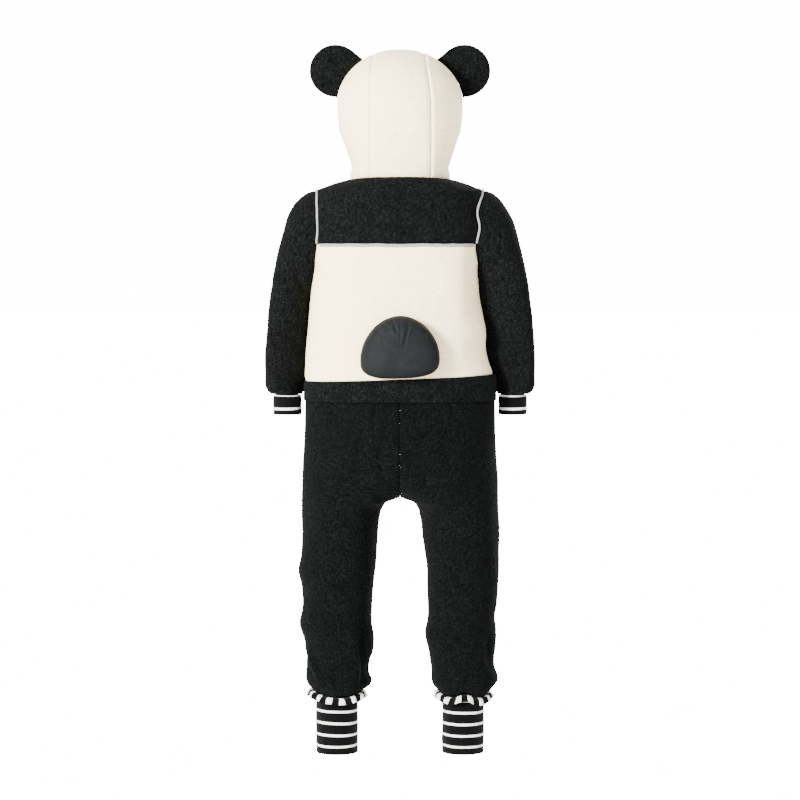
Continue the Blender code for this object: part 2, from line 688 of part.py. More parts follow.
def add_body_panels():
    """Back yoke, back panel, and the front yokes and panels on both sides of the zip."""
    for thick, finish, part in ((SHERPA_THICK, SHERPA, "yoke"), (FLEECE_THICK, FLEECE, "panel")):
        for back in (True, False):
            grid, inner, split = quarter_walls(back, 0.0 if back else FRONT_START_X, thick)
            rows = slice(0, split) if part == "yoke" else slice(split - 1, None)
            edge, shift = (-1, SEAM / 2) if part == "yoke" else (0, -SEAM / 2)
            pair = []
            for points in (grid[rows].copy(), inner[rows].copy()):
                points[edge, :, 2] += shift
                pair.append(points)
            if back:
                whole = [
                    np.concatenate([mirrored(-1, points)[:, :0:-1], points], axis=1)
                    for points in pair
                ]
                wall("back_" + part, *(leant(points) for points in whole), finish)
                continue
            for name, side in (("left", 1), ("right", -1)):
                flip = np.array([side, -1.0, 1.0])
                outer, inner = (leant(points * flip) for points in pair)
                wall(f"front_{part}_{name}", outer, inner, finish)


def add_sleeve(name, side):
    """One sleeve: a tube lofted from the armhole to its hem, which turns in over the cuff."""
    grid = sleeve_grid()
    out = normals(grid, wrap=True)
    out[0] = armhole_edges()[0]
    grid, out = mirrored(side, grid, out)
    wall(name, grid, grid - out * SHERPA_THICK, SHERPA, wrap=True)


def ring(centre_x, centre_y, half_width, half_depth, z, cols):
    """Level superellipse ring; sizes may be columns of rows."""
    turn = np.linspace(0.0, 2 * math.pi, cols, endpoint=False)
    x = centre_x + half_width * power(np.cos(turn), 2 / CUFF_FULLNESS)
    y = centre_y + half_depth * power(np.sin(turn), 2 / CUFF_FULLNESS)
    return stack(x, y, z)


def add_cuff(name, side, centre, half_width, half_depth, top, length, bow=0.0, cols=20):
    """A rib cuff: a nearly straight tube that starts under the hem it is sewn to."""
    down = np.array([0.0, 0.5, 1.0])[:, None]
    ease = 1.0 + 0.02 * np.sin(down * math.pi)
    walls = []
    for thick in (0.0, RIB_THICK):
        reach = half_depth * ease - thick
        grid = ring(centre[0], centre[1], half_width * ease - thick, reach, top - length * down, cols)
        rise = bow * (1 - ((grid[..., 1] - centre[1]) / reach) ** 2)
        walls.append(grid + stack(0.0, 0.0, rise * (down == 0.0)))
    wall(name, *mirrored(side, *walls), RIB, wrap=True)


def quarter_at(zs, proud):
    """Back and front quarters of the torso at some heights, standing proud of the panels."""
    parts = []
    for index, start in ((1, 0.0), (2, FRONT_START_X)):
        parts.append(
            section(
                from_table(SIDE, 1, zs) + proud,
                np.full(len(zs), -1.0),
                from_table(DEPTH, index, zs) + proud,
                zs,
                zs,
                start,
                10,
            )
        )
    return parts


def add_hem_band():
    """Hem band round the body, open at the zip, hanging over the trousers' top."""
    zs = np.linspace(WAIST_SEAM_Z - SEAM, BAND_BOTTOM_Z, 4)
    walls = []
    for proud in (BAND_PROUD, BAND_PROUD - SHERPA_THICK):
        back, front = quarter_at(zs, proud)
        front = front * np.array([1.0, -1.0, 1.0])
        left = np.concatenate([front, back[:, -2::-1]], axis=1)
        walls.append(np.concatenate([left, mirrored(-1, left)[:, -2::-1]], axis=1))
    wall("hem_band", *(leant(points) for points in walls), SHERPA)


# ================================================================ trousers
def leg_columns():
    """Columns of the leg's sections, with a row halfway between each two of the lower ones."""
    count = np.arange(len(LEG), dtype=float)
    folded = np.flatnonzero(column(LEG, 1)[1:-2] < FOLDS_TOP_Z) + 1
    rows = np.sort(np.concatenate([count, folded + 0.5]))
    return [smooth(rows, count, column(LEG, i))[:, None] for i in range(len(LEG[0]))]


def fold(side, seam, z):
    """How far the folds of one leg push a seam outwards at some heights."""
    out = np.zeros_like(z)
    for leg, where, middle, half, stands in LEG_FOLDS:
        if (leg, where) == (side, seam):
            out += stands * np.exp(-(((z - middle) / half) ** 2))
    return out


def hem_bow(y, reach, z):
    """How far the leg's lower end is raised towards its sides, fading out up the leg."""
    share = np.clip((z - BOW_TOP_Z) / (LEG_CUFF_TOP_Z - BOW_TOP_Z), 0.0, 1.0)
    return HEM_BOW * (1 - (y / reach) ** 2) * share**2


def leg_grid(side, back, cols=9):
    """Outer points of a quarter of the trousers, as on the wearer's left, and its normals."""
    side_x, side_z, inner_x, inner_z, turn, back_depth, front_depth, full = leg_columns()
    depth = back_depth if back else front_depth
    side_x = side_x + fold(side, "side", side_z)
    inner_x = inner_x - fold(side, "inside", inner_z) * (turn >= 1.0)
    tuck = np.where(side_z > BAND_BOTTOM_Z - SEAM, WAIST_TUCK, 0.0)
    side_x, depth = side_x - tuck, depth - tuck
    last = np.pi / 2 * (1 + turn)
    reach = (side_x - inner_x) / (1 - power(np.cos(last), 2 / full))
    around = last * np.linspace(0.0, 1.0, cols)
    share = (1 - np.cos(around * np.pi / last)) / 2
    x = side_x - reach + reach * power(np.cos(around), 2 / full)
    y = depth * power(np.sin(around), 2 / full)
    z = side_z + (inner_z - side_z) * share
    z = z + hem_bow(y, depth, z)
    grid = stack(np.maximum(x, SEAM / 2), np.maximum(y, SEAM / 2), z)
    out = normals(grid)
    crotch = int(np.argmax(turn >= 1.0))
    out[:, 0, 1] = 0.0
    out[:crotch, -1, 0] = 0.0
    out[crotch:, -1, 1] = 0.0
    return grid, unit(out)


def add_trousers():
    """Four trouser panels, which meet at the side, centre and inside leg seams."""
    for part in ("back", "front"):
        for name, side in (("left", 1), ("right", -1)):
            grid, out = leg_grid(side, part == "back")
            inner = grid - out * SHERPA_THICK
            inner[..., 0] = np.maximum(inner[..., 0], SEAM / 2)
            inner[..., 1] = np.maximum(inner[..., 1], SEAM / 2)
            flip = np.array([side, 1.0 if part == "back" else -1.0, 1.0])
            wall(f"trouser_{part}_{name}", grid * flip, inner * flip, SHERPA)


def add_frill(name, side, per_wave=6):
    """Wavy frill that rolls over and hangs round the leg's hem, above the cuff."""
    turn = np.linspace(0.0, 2 * math.pi, FRILL_WAVES * per_wave, endpoint=False)[None, :]
    wave = np.sin(turn * FRILL_WAVES)
    clear, drop, swing, lift = (column(FRILL, i)[:, None] for i in range(4))
    out = clear + swing * wave
    x = LEG_CUFF_CENTRE_X + (LEG_CUFF_HALF_WIDTH + out) * power(np.cos(turn), 2 / CUFF_FULLNESS)
    reach = LEG_CUFF_HALF_DEPTH + out
    y = reach * power(np.sin(turn), 2 / CUFF_FULLNESS)
    z = LEG_CUFF_TOP_Z + hem_bow(y, reach, LEG_CUFF_TOP_Z) - FRILL_THICK - drop + lift * wave
    grid = stack(x, y, z)
    below = (LEG_CUFF_CENTRE_X, 0.0, LEG_CUFF_TOP_Z - LEG_CUFF_LENGTH)
    facing = normals(grid, wrap=True, away_from=below)
    grid, facing = mirrored(side, grid, facing)
    wall(name, grid, grid - facing * FRILL_THICK, RIB, wrap=True)


# ================================================================ tail and trims
def back_surface(x, z):
    """Depth of the back panel's outer face at places seen from behind."""
    depth = from_table(DEPTH, 1, z)
    width = from_table(SIDE, 1, z)
    return depth * (1 - np.abs(x / width) ** TORSO_FULLNESS) ** (1 / TORSO_FULLNESS)


#             turn    width  depth     gathers that run down from the tail's top
TAIL_FOLDS = (
    (62.0, 7.0, 2.4),
    (76.0, 6.0, 3.2),
    (90.0, 5.0, 2.0),
    (104.0, 6.5, 3.0),
    (121.0, 8.0, 2.2),
)


#       share of outline, share of how far it stands out
TAIL_PROFILE = (
    (0.14, 0.0),
    (0.34, 0.0),
    (0.52, 0.0),
    (0.7, 0.0),
    (0.88, 0.0),
    (0.98, 0.16),
    (1.0, 0.3),
    (0.965, 0.5),
    (0.88, 0.68),
    (0.74, 0.83),
    (0.5, 0.95),
    (0.18, 1.0),
)


def tail_outline(turn):
    """Half width and height of the tail's outline: a dome over a flatter foot."""
    upper = np.sin(turn) > 0
    full = np.where(upper, TAIL_DOME, TAIL_FOOT)
    middle = TAIL_BOTTOM_Z + (TAIL_TOP_Z - TAIL_BOTTOM_Z) * TAIL_FOOT_SHARE
    height = np.where(upper, TAIL_TOP_Z - middle, middle - TAIL_BOTTOM_Z)
    x = TAIL_HALF_WIDTH * power(np.cos(turn), 2 / full)
    return x, middle + height * power(np.sin(turn), 2 / full)


def add_tail(cols=30):
    """Filled tail, sewn flat to the back panel and gathered at its top."""
    turn = np.linspace(0.0, 2 * math.pi, cols, endpoint=False)
    rim_x, rim_z = tail_outline(turn)
    middle = (TAIL_TOP_Z + TAIL_BOTTOM_Z) / 2
    rings = []
    for share, rise in TAIL_PROFILE:
        x = rim_x * share
        z = middle + (rim_z - middle) * share
        y = back_surface(x, z) + TAIL_LIFT + TAIL_STANDS_OUT * rise
        if rise > 0:
            for at, width, deep in TAIL_FOLDS:
                near = np.exp(-(((np.degrees(turn) - at) / width) ** 2))
                y = y - deep * near * min(1.0, rise * 1.6) * share
        rings.append(stack(x, y, z))
    loft("tail", leant(np.stack(rings)), NYLON)


def add_trims():
    """Exposed edge tape over the back armhole seams and along the yoke's seam."""
    grid = whole_quarter(True, 0.0, QUARTER_COLS)[0]
    edges = unit(armhole_edges()[1])
    rows = slice(TIP_ROW, TIP_ROW + len(YOKE_TURNS))
    path = grid[rows, -1].copy()
    facing = edges[:len(YOKE_TURNS)]
    path[-1] += (path[-2] - path[-1]) * 0.2
    for name, side in (("left", 1), ("right", -1)):
        trail, out = mirrored(side, path, facing)
        ribbon(
            "armhole_trim_" + name, trail, out, ARMHOLE_TRIM_WIDTH, TRIM_THICK,
            ARMHOLE_TRIM_LIFT, TAPE,
        )
    quarter, out, split = whole_quarter(True, 0.0, QUARTER_COLS)
    half, out = quarter[split - 1, :-1], out[split - 1, :-1]
    seam = np.concatenate([mirrored(-1, half)[:0:-1], half])
    facing = np.concatenate([mirrored(-1, out)[:0:-1], out])
    ribbon("yoke_trim", seam, facing, YOKE_TRIM_WIDTH, TRIM_THICK, YOKE_TRIM_LIFT, TAPE)


# ================================================================ zip
#            across  rise       the tape with the chain's ridge along its middle
ZIP_PROFILE = (
    (-ZIP_HALF_WIDTH, 0.0),
    (-ZIP_CHAIN_HALF - 0.4, 0.0),
    (-ZIP_CHAIN_HALF, ZIP_CHAIN_RISE),
    (ZIP_CHAIN_HALF, ZIP_CHAIN_RISE),
    (ZIP_CHAIN_HALF + 0.4, 0.0),
    (ZIP_HALF_WIDTH, 0.0),
)
ZIP_RECESS = 0.6            # the tape lies this much behind the fronts' outer faces
PIN_HIGH = 3.8              # the pull's pin above the slider's body
PIN_SIZE = 1.6              # square bar of the slider's bridge
BRIDGE_HALF = 4.2
LUG_INNER = 3.0
HOOK_BORE = 1.45
HOOK_RADIUS = 2.5
SLIT_HALF = 20.0            # degrees, half of the gap where the pull's end is bent round


def zip_line():
    """Line of the zip down the centre front, on the tape's outer face."""
    fronts = whole_quarter(False, FRONT_START_X, QUARTER_COLS)[0][:, 0]
    z = np.concatenate([fronts[:, 2], [WAIST_SEAM_Z - 1.0, BAND_BOTTOM_Z]])
    depth = np.concatenate([fronts[:, 1], from_table(DEPTH, 2, z[-2:]) + BAND_PROUD])
    return depth - ZIP_RECESS, z


def add_zip_tape():
    """Both tapes and the closed chain as one strip between the fronts."""
    depth, z = zip_line()
    across = column(ZIP_PROFILE, 0)[None, :]
    rise = column(ZIP_PROFILE, 1)[None, :]
    outer = stack(across, -(depth[:, None] + rise), z[:, None])
    inner = stack(across, -(depth[:, None] - ZIP_TAPE_THICK), z[:, None])
    wall("zip_tape", outer, inner, ZIP_TAPE)


def slider_frame():
    """Middle of the slider's top face, with the zip's upward and outward directions."""
    depth, z = zip_line()
    near = np.array([SLIDER_Z + 4.0, SLIDER_Z - 4.0])
    y = -np.interp(-near, -z, depth)
    up = unit(np.array([0.0, y[0] - y[1], near[0] - near[1]]))
    out = np.array([0.0, -up[2], up[1]])
    lift = ZIP_CHAIN_RISE + SEAM + SLIDER_THICK
    return np.array([0.0, y.mean(), SLIDER_Z]) + out * lift, up, out


def pin_centre():
    """Centre of the bar that the pull tab turns on."""
    middle, up, out = slider_frame()
    return middle + out * PIN_HIGH


def prism(name, outline, ends, place, finish, **placing):
    """A closed outline carried between two ends, put in place by a function of points."""
    rings = np.stack([place(outline, end) for end in ends])
    return loft(name, rings, finish, **placing)


def add_slider():
    """Zip slider: a body over the chain with a square bridge that holds the pull."""
    middle, up, out = slider_frame()
    across = np.array([1.0, 0.0, 0.0])

    def along_zip(outline, end):
        return middle + outline[:, :1] * across + outline[:, 1:] * out + up * end

    wide, narrow = SLIDER_WIDTH / 2, SLIDER_WIDTH / 2 - 0.8
    body = np.array([
        (-wide, -SLIDER_THICK), (wide, -SLIDER_THICK), (wide, -0.8),
        (narrow, 0.0), (-narrow, 0.0), (-wide, -0.8),
    ])
    half = SLIDER_LENGTH / 2
    slider = prism("zip_slider", body, (-half, half), along_zip, METAL)
    low, high = PIN_HIGH - PIN_SIZE / 2, PIN_HIGH + PIN_SIZE / 2
    bridge = np.array([
        (-BRIDGE_HALF, -0.9), (-LUG_INNER, -0.9), (-LUG_INNER, low), (LUG_INNER, low),
        (LUG_INNER, -0.9), (BRIDGE_HALF, -0.9), (BRIDGE_HALF, high), (-BRIDGE_HALF, high),
    ])
    staple = prism("zip_slider_bridge", bridge, (-PIN_SIZE / 2, PIN_SIZE / 2), along_zip, METAL)
    staple.hide_render = True
    staple.display_type = "WIRE"
    join = slider.modifiers.new("bridge", "BOOLEAN")
    join.operation = "UNION"
    join.object = staple


def add_pull():
    """Pull tab: a strip whose end is bent round the bridge's bar, turning about X."""
    centre = pin_centre()
    up, out = slider_frame()[1:]
    tab_half = PULL_THICK / 2
    meets = math.degrees(math.asin(tab_half / HOOK_RADIUS))

    def arc(radius, start, end, count):
        turn = np.radians(np.linspace(start, end, count))
        return np.stack([radius * np.cos(turn), radius * np.sin(turn)], axis=1)

    outline = np.concatenate([
        arc(HOOK_RADIUS, 180.0 + SLIT_HALF, 270.0 - meets, 4),
        [(-tab_half, -PULL_LENGTH + 1.0), (-tab_half + 0.3, -PULL_LENGTH)],
        [(tab_half - 0.3, -PULL_LENGTH), (tab_half, -PULL_LENGTH + 1.0)],
        arc(HOOK_RADIUS, 270.0 + meets, 540.0 - SLIT_HALF, 12),
        arc(HOOK_BORE, 540.0 - SLIT_HALF, 180.0 + SLIT_HALF, 14),
    ])

    def beside(points, end):
        place = centre + points[:, :1] * out + points[:, 1:] * up
        return place + np.array([end, 0.0, 0.0])

    half = PULL_WIDTH / 2
    prism("zip_pull", outline, (-half, half), beside, METAL, origin=centre)


def main():
    """Clear the scene and build every piece."""
    for thing in list(bpy.data.objects):
        bpy.data.objects.remove(thing, do_unlink=True)
    add_hood_centre()
    add_body_panels()
    add_hem_band()
    add_trousers()
    add_tail()
    add_trims()
    add_zip_tape()
    add_slider()
    add_pull()
    sleeve_middle = (SLEEVE_CUFF_OUT_X + SLEEVE_CUFF_IN_X) / 2
    sleeve_half = (SLEEVE_CUFF_OUT_X - SLEEVE_CUFF_IN_X) / 2
    for name, side in (("left", 1), ("right", -1)):
        add_hood_side("hood_side_" + name, side)
        add_ear("ear_" + name, side)
        add_sleeve("sleeve_" + name, side)
        add_cuff(
            "sleeve_cuff_" + name, side, (sleeve_middle, SLEEVE_CUFF_Y), sleeve_half,
            SLEEVE_CUFF_HALF_DEPTH, SLEEVE_CUFF_TOP_Z, SLEEVE_CUFF_LENGTH,
        )
        add_frill("leg_ruffle_" + name, side)
        add_cuff(
            "leg_cuff_" + name, side, (LEG_CUFF_CENTRE_X, 0.0), LEG_CUFF_HALF_WIDTH,
            LEG_CUFF_HALF_DEPTH, LEG_CUFF_TOP_Z, LEG_CUFF_LENGTH, HEM_BOW,
        )


main()
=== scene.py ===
"""Panda onesie: pile cloth shells, ribs, frills, tail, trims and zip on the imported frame.

Shapes are worked out in millimetres and turn to metres when a mesh is made.  The wearer
faces -Y, so the back looks along +Y and the wearer's left is +X.
"""
import logging
import math
from dataclasses import dataclass, replace
from enum import Enum

import bpy
import numpy as np
from bpy.types import Material, Mesh, Node, NodeSocket, NodeTree, Object
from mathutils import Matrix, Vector


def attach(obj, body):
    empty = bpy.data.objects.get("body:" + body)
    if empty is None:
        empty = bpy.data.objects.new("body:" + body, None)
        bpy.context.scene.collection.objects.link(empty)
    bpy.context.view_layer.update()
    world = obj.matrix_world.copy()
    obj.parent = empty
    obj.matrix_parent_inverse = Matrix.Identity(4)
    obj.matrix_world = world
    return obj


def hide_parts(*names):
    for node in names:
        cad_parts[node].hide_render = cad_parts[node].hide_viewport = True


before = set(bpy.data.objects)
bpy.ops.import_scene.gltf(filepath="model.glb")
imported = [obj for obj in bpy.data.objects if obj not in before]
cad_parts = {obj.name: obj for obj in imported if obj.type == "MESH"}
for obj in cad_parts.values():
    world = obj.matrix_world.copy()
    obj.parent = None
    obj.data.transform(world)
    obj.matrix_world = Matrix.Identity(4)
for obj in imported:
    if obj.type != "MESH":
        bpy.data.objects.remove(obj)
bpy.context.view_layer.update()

MM = 0.001
CLOTH = "_cloth"            # ends the name of the piece that stands for a node
SEAM = 0.002                # sewn edges meet this closely, in millimetres
CURL_SEED = 11
CURL_MEAN = 0.55            # a tuft's mean height, which lies on the plain form
log = logging.getLogger("onesie")
Array = np.ndarray
Creases = dict[str, tuple]  # those of each piece by its name


class Side(Enum):
    """Which of the wearer's sides a piece belongs to."""

    LEFT = 1
    RIGHT = -1

    @property
    def label(self) -> str:
        """The side's word in a node's name."""
        return self.name.lower()


class Half(Enum):
    """Back or front of the garment."""

    BACK = 1
    FRONT = -1


# ---------------------------------------------------------------- curves and fields
def column(table: tuple, index: int) -> Array:
    """One column of a table.

    Args:
        table: rows of numbers.
        index: the column's place in a row.

    Returns:
        The column as an array.
    """
    return np.array([row[index] for row in table])


def smooth(at: Array, keys: Array, values: Array) -> Array:
    """Cubic curve through values at keys, with slopes taken from their neighbours.

    Args:
        at: places to read the curve at.
        keys: places of the values, rising or falling.
        values: what the curve runs through.

    Returns:
        The curve's values at the places.
    """
    at = np.asarray(at, dtype=float)
    if keys[0] > keys[-1]:
        keys, values = keys[::-1], values[::-1]
    slope = np.gradient(values, keys)
    at = np.clip(at, keys[0], keys[-1])
    k = np.clip(np.searchsorted(keys, at, side="right") - 1, 0, len(keys) - 2)
    step = keys[k + 1] - keys[k]
    t = (at - keys[k]) / step
    return (
        values[k] * (1 + 2 * t) * (1 - t) ** 2
        + slope[k] * step * t * (1 - t) ** 2
        + values[k + 1] * t * t * (3 - 2 * t)
        + slope[k + 1] * step * t * t * (t - 1)
    )


def curve(table: tuple, index: int, at: Array) -> Array:
    """A table's column as a smooth curve over its first column."""
    return smooth(at, column(table, 0), column(table, index))


def stack(*parts: Array) -> Array:
    """Coordinates x, y, z brought to one shape and joined as points."""
    return np.stack(np.broadcast_arrays(*parts), axis=-1).astype(float)


def unit(vectors: Array) -> Array:
    """Vectors brought to length one."""
    return vectors / np.maximum(np.linalg.norm(vectors, axis=-1, keepdims=True), 1e-9)


def power(value: Array, exponent: float) -> Array:
    """Signed power, which rounds a circle's sine and cosine into a fuller section."""
    return np.sign(value) * np.abs(value) ** exponent


def bell(value: Array, middle: float, width: float) -> Array:
    """Smooth bump of height one, exp(-((value - middle) / width) squared)."""
    return np.exp(-(((value - middle) / width) ** 2))


def scatter(cells: Array, seed: int) -> Array:
    """Evenly spread number from 0 to 1 for each whole-number cell.

    Args:
        cells: whole numbers of shape (..., 3).
        seed: picks another spread.

    Returns:
        One number for each cell, by mixing the bits of its three numbers.
    """
    a, b, c = (cells[..., i].astype(np.int64) for i in range(3))
    mixed = (a * 73856093) ^ (b * 19349663) ^ (c * 83492791) ^ (seed * 2654435761)
    mixed = (mixed ^ (mixed >> 13)) * 1274126177
    mixed = mixed ^ (mixed >> 16)
    return (mixed & 0xFFFFFF) / float(0xFFFFFF)


def drift(points: Array, size: float, seed: int) -> Array:
    """Soft noise from -1 to 1: corner values of a lattice, blended inside each cell.

    Args:
        points: places in millimetres.
        size: the lattice's spacing in millimetres.
        seed: picks another noise.

    Returns:
        One value for each point.
    """
    scaled = points / size
    low = np.floor(scaled)
    part = scaled - low
    part = part * part * (3 - 2 * part)
    total = np.zeros(points.shape[:-1])
    for corner in range(8):
        offset = np.array([corner & 1, (corner >> 1) & 1, corner >> 2])
        weight = np.prod(np.where(offset, part, 1 - part), axis=-1)
        total += weight * scatter(low + offset, seed)
    return total * 2 - 1


def curls(points: Array, size: float, seed: int) -> Array:
    """Height of close round tufts from 0 to 1: a dome round the nearest scattered centre.

    Args:
        points: places in millimetres.
        size: spacing of the tufts in millimetres.
        seed: picks another scatter.

    Returns:
        One height for each point.
    """
    scaled = points / size
    low = np.floor(scaled)
    nearest = np.full(points.shape[:-1], 9.0)
    for index in range(27):
        offset = np.array([index % 3 - 1, (index // 3) % 3 - 1, index // 9 - 1])
        cell = low + offset
        centre = np.stack([scatter(cell, seed + axis) for axis in range(3)], axis=-1)
        gap = cell + 0.15 + 0.7 * centre - scaled
        nearest = np.minimum(nearest, (gap * gap).sum(axis=-1))
    return np.sqrt(np.clip(1.0 - nearest / 0.72, 0.0, 1.0))


def even_steps(grid: Array, count: int, first: int = 0, last: int | None = None) -> Array:
    """Fractional row numbers that are evenly far apart by the rows' mean distance.

    Args:
        grid: rows of points.
        count: number of steps wanted.
        first: row to start from.
        last: row to end at, the last one unless given.

    Returns:
        The row numbers.
    """
    last = len(grid) - 1 if last is None else last
    part = grid[first:last + 1]
    run = np.append(0.0, np.cumsum(np.linalg.norm(np.diff(part, axis=0), axis=-1).mean(axis=1)))
    return np.interp(np.linspace(0.0, run[-1], count), run, np.arange(first, last + 1))


def rows_at(grid: Array, at: Array) -> Array:
    """Rows of a grid at fractional row numbers, on a cubic through its own rows.

    The cubic's slopes are taken over the rows' real distances, so uneven rows stay smooth.

    Args:
        grid: rows of points or numbers.
        at: the row numbers wanted, counted from 0.

    Returns:
        The new rows.
    """
    flat = grid.reshape(len(grid), -1)
    far = np.linalg.norm(np.diff(flat, axis=0), axis=1)
    slope = np.gradient(flat, np.append(0.0, np.cumsum(far)), axis=0)
    k = np.clip(np.floor(at).astype(int), 0, len(grid) - 2)
    t = (at - k)[:, None]
    span = far[k][:, None]
    made = (
        flat[k] * (1 + 2 * t) * (1 - t) ** 2
        + span * slope[k] * t * (1 - t) ** 2
        + flat[k + 1] * t * t * (3 - 2 * t)
        + span * slope[k + 1] * t * t * (t - 1)
    )
    return made.reshape(len(at), *grid.shape[1:])


def normals(grid: Array, wrap: bool = False) -> Array:
    """Unit normals of a grid of points, from its rows' and columns' directions.

    Args:
        grid: points of shape (rows, columns, 3).
        wrap: whether the last column meets the first.

    Returns:
        Normals that point away from the grid's middle.
    """
    if wrap:
        across = np.roll(grid, -1, axis=1) - np.roll(grid, 1, axis=1)
    else:
        across = np.gradient(grid, axis=1)
    facing = unit(np.cross(np.gradient(grid, axis=0), across))
    if (facing * (grid - grid.mean(axis=(0, 1)))).sum() < 0:
        facing = -facing
    return facing


def run_lengths(grid: Array, axis: int) -> Array:
    """Distance along each line of a grid from its first point, in millimetres."""
    steps = np.linalg.norm(np.diff(grid, axis=axis), axis=-1)
    pad = [(1, 0), (0, 0)] if axis == 0 else [(0, 0), (1, 0)]
    return np.pad(np.cumsum(steps, axis=axis), pad)


def edge_gap(grid: Array, edges: str, wrap: bool = False) -> Array:
    """Distance of each point to the nearest sewn edge of its piece.

    Args:
        grid: points of shape (rows, columns, 3).
        edges: any of "t", "b", "l", "r" for first and last row, first and last column.
        wrap: whether the last column meets the first.

    Returns:
        Distances in millimetres, large where no sewn edge is near.
    """
    down = run_lengths(grid, 0)
    across = run_lengths(grid, 1)
    gaps = {
        "t": down,
        "b": down[-1:] - down,
        "l": across,
        "r": across[:, -1:] - across,
    }
    picked = [gaps[edge] for edge in edges if not (wrap and edge in "lr")]
    return np.minimum.reduce(picked + [np.full(down.shape, 999.0)])


def mirrored(side: Side, grid: Array) -> Array:
    """A grid on the wearer's left, or turned over to the right."""
    return grid * np.array([side.value, 1.0, 1.0])


# ---------------------------------------------------------------- nodes and finishes
def linear(colour: str) -> tuple[float, float, float, float]:
    """An sRGB hex colour as the linear values that Blender's sockets take."""
    parts = [int(colour[i:i + 2], 16) / 255 for i in (1, 3, 5)]
    lit = [p / 12.92 if p <= 0.04045 else ((p + 0.055) / 1.055) ** 2.4 for p in parts]
    return (lit[0], lit[1], lit[2], 1.0)


def set_up(tree: NodeTree, node: Node, **inputs: object) -> None:
    """Sets a node's properties and inputs.

    Args:
        tree: the tree that the node is in.
        node: the node.
        inputs: a node's property by its name, or an input by its name with spaces as
            underscores (or in0, in1 by place), as a value or as a socket to link from.
    """
    for name, value in inputs.items():
        if hasattr(node, name):
            setattr(node, name, value)
            continue
        place = int(name[2:]) if name[2:].isdigit() else name.replace("_", " ")
        socket = node.inputs[place]
        if isinstance(value, NodeSocket):
            tree.links.new(value, socket)
        else:
            socket.default_value = value


def add_node(tree: NodeTree, kind: str, **inputs: object) -> Node:
    """Adds a node of a kind and sets it up."""
    node = tree.nodes.new(kind)
    set_up(tree, node, **inputs)
    return node


def ramp(tree: NodeTree, factor: object, stops: tuple) -> NodeSocket:
    """A colour ramp's output.

    Args:
        tree: the material's node tree.
        factor: socket that drives the ramp.
        stops: pairs of place and hex colour, at least two.

    Returns:
        The ramp's colour socket.
    """
    node = add_node(tree, "ShaderNodeValToRGB", Fac=factor)
    while len(node.color_ramp.elements) < len(stops):
        node.color_ramp.elements.new(0.5)
    for element, (place, colour) in zip(node.color_ramp.elements, stops):
        element.position = place
        element.color = linear(colour)
    return node.outputs["Color"]


@dataclass(frozen=True)
class Finish:
    """Start of every finish: a named material with a Principled shader."""

    name: str

    def begin(self) -> tuple[Material, NodeTree, Node]:
        """A new material with its tree and shader."""
        made = bpy.data.materials.new(self.name)
        made.use_nodes = True
        tree = made.node_tree
        return made, tree, tree.nodes["Principled BSDF"]


@dataclass(frozen=True)
class PileCloth(Finish):
    """Knitted pile, with painted shade in the soft ground between the tufts and painted light on their
    tips.
    """

    ground: str
    tuft: str
    tip: str
    curl_mm: float
    lift_mm: float
    sheen: float
    sheen_tint: str
    specular: float
    fibre_share: float = 0.35           # a fibre's width beside a curl's
    fuzz_share: float = 0.45            # its height beside a loop's
    patch_mm: float = 28.0              # patches that lie a little darker or paler
    weights: tuple = (0.4, 0.45, 0.1)   # of tufts, loops and patches in the colour
    stops: tuple = (0.22, 0.62, 0.98)   # where the shaded ground, the tuft and the lit tip lie on that scale

    def make(self) -> Material:
        """Material whose colour follows the tufts' height, as painted shade low down and painted light on
        top, with finer loops as bump.
        """
        made, tree, shader = self.begin()
        place = add_node(tree, "ShaderNodeTexCoord").outputs["Object"]
        height = add_node(tree, "ShaderNodeAttribute", attribute_name="proud").outputs["Fac"]
        loops = add_node(
            tree, "ShaderNodeTexVoronoi", feature="SMOOTH_F1", Vector=place,
            Scale=1.0 / (self.curl_mm * MM), Smoothness=0.6,
        ).outputs["Distance"]
        fibres = add_node(
            tree, "ShaderNodeTexNoise", Vector=place,
            Scale=1.0 / (self.fibre_share * self.curl_mm * MM), Detail=3.0, Roughness=0.65,
        ).outputs["Fac"]
        patches = add_node(
            tree, "ShaderNodeTexNoise", Vector=place, Scale=1.0 / (self.patch_mm * MM), Detail=2.0,
        ).outputs["Fac"]
        up = add_node(tree, "ShaderNodeMath", operation="SUBTRACT", in0=1.0, in1=loops).outputs[0]
        mixed = 0.0
        for part, weight in zip((height, up, patches), self.weights):
            mixed = add_node(
                tree, "ShaderNodeMath", operation="MULTIPLY_ADD", in0=part, in1=weight, in2=mixed
            ).outputs[0]
        # painted shade and light: the colour darkens between the tufts and loops and brightens on their
        # tops
        colour = ramp(tree, mixed, tuple(zip(self.stops, (self.ground, self.tuft, self.tip))))
        relief = add_node(
            tree, "ShaderNodeMath", operation="MULTIPLY_ADD", in0=fibres, in1=self.fuzz_share, in2=up
        ).outputs[0]
        bump = add_node(
            tree, "ShaderNodeBump", Strength=0.85, Distance=self.lift_mm * MM, Height=relief
        ).outputs["Normal"]
        set_up(
            tree, shader, Base_Color=colour, Normal=bump, Roughness=0.95,
            Sheen_Weight=self.sheen, Sheen_Roughness=0.55, Sheen_Tint=linear(self.sheen_tint),
            Specular_IOR_Level=self.specular,
        )
        return made


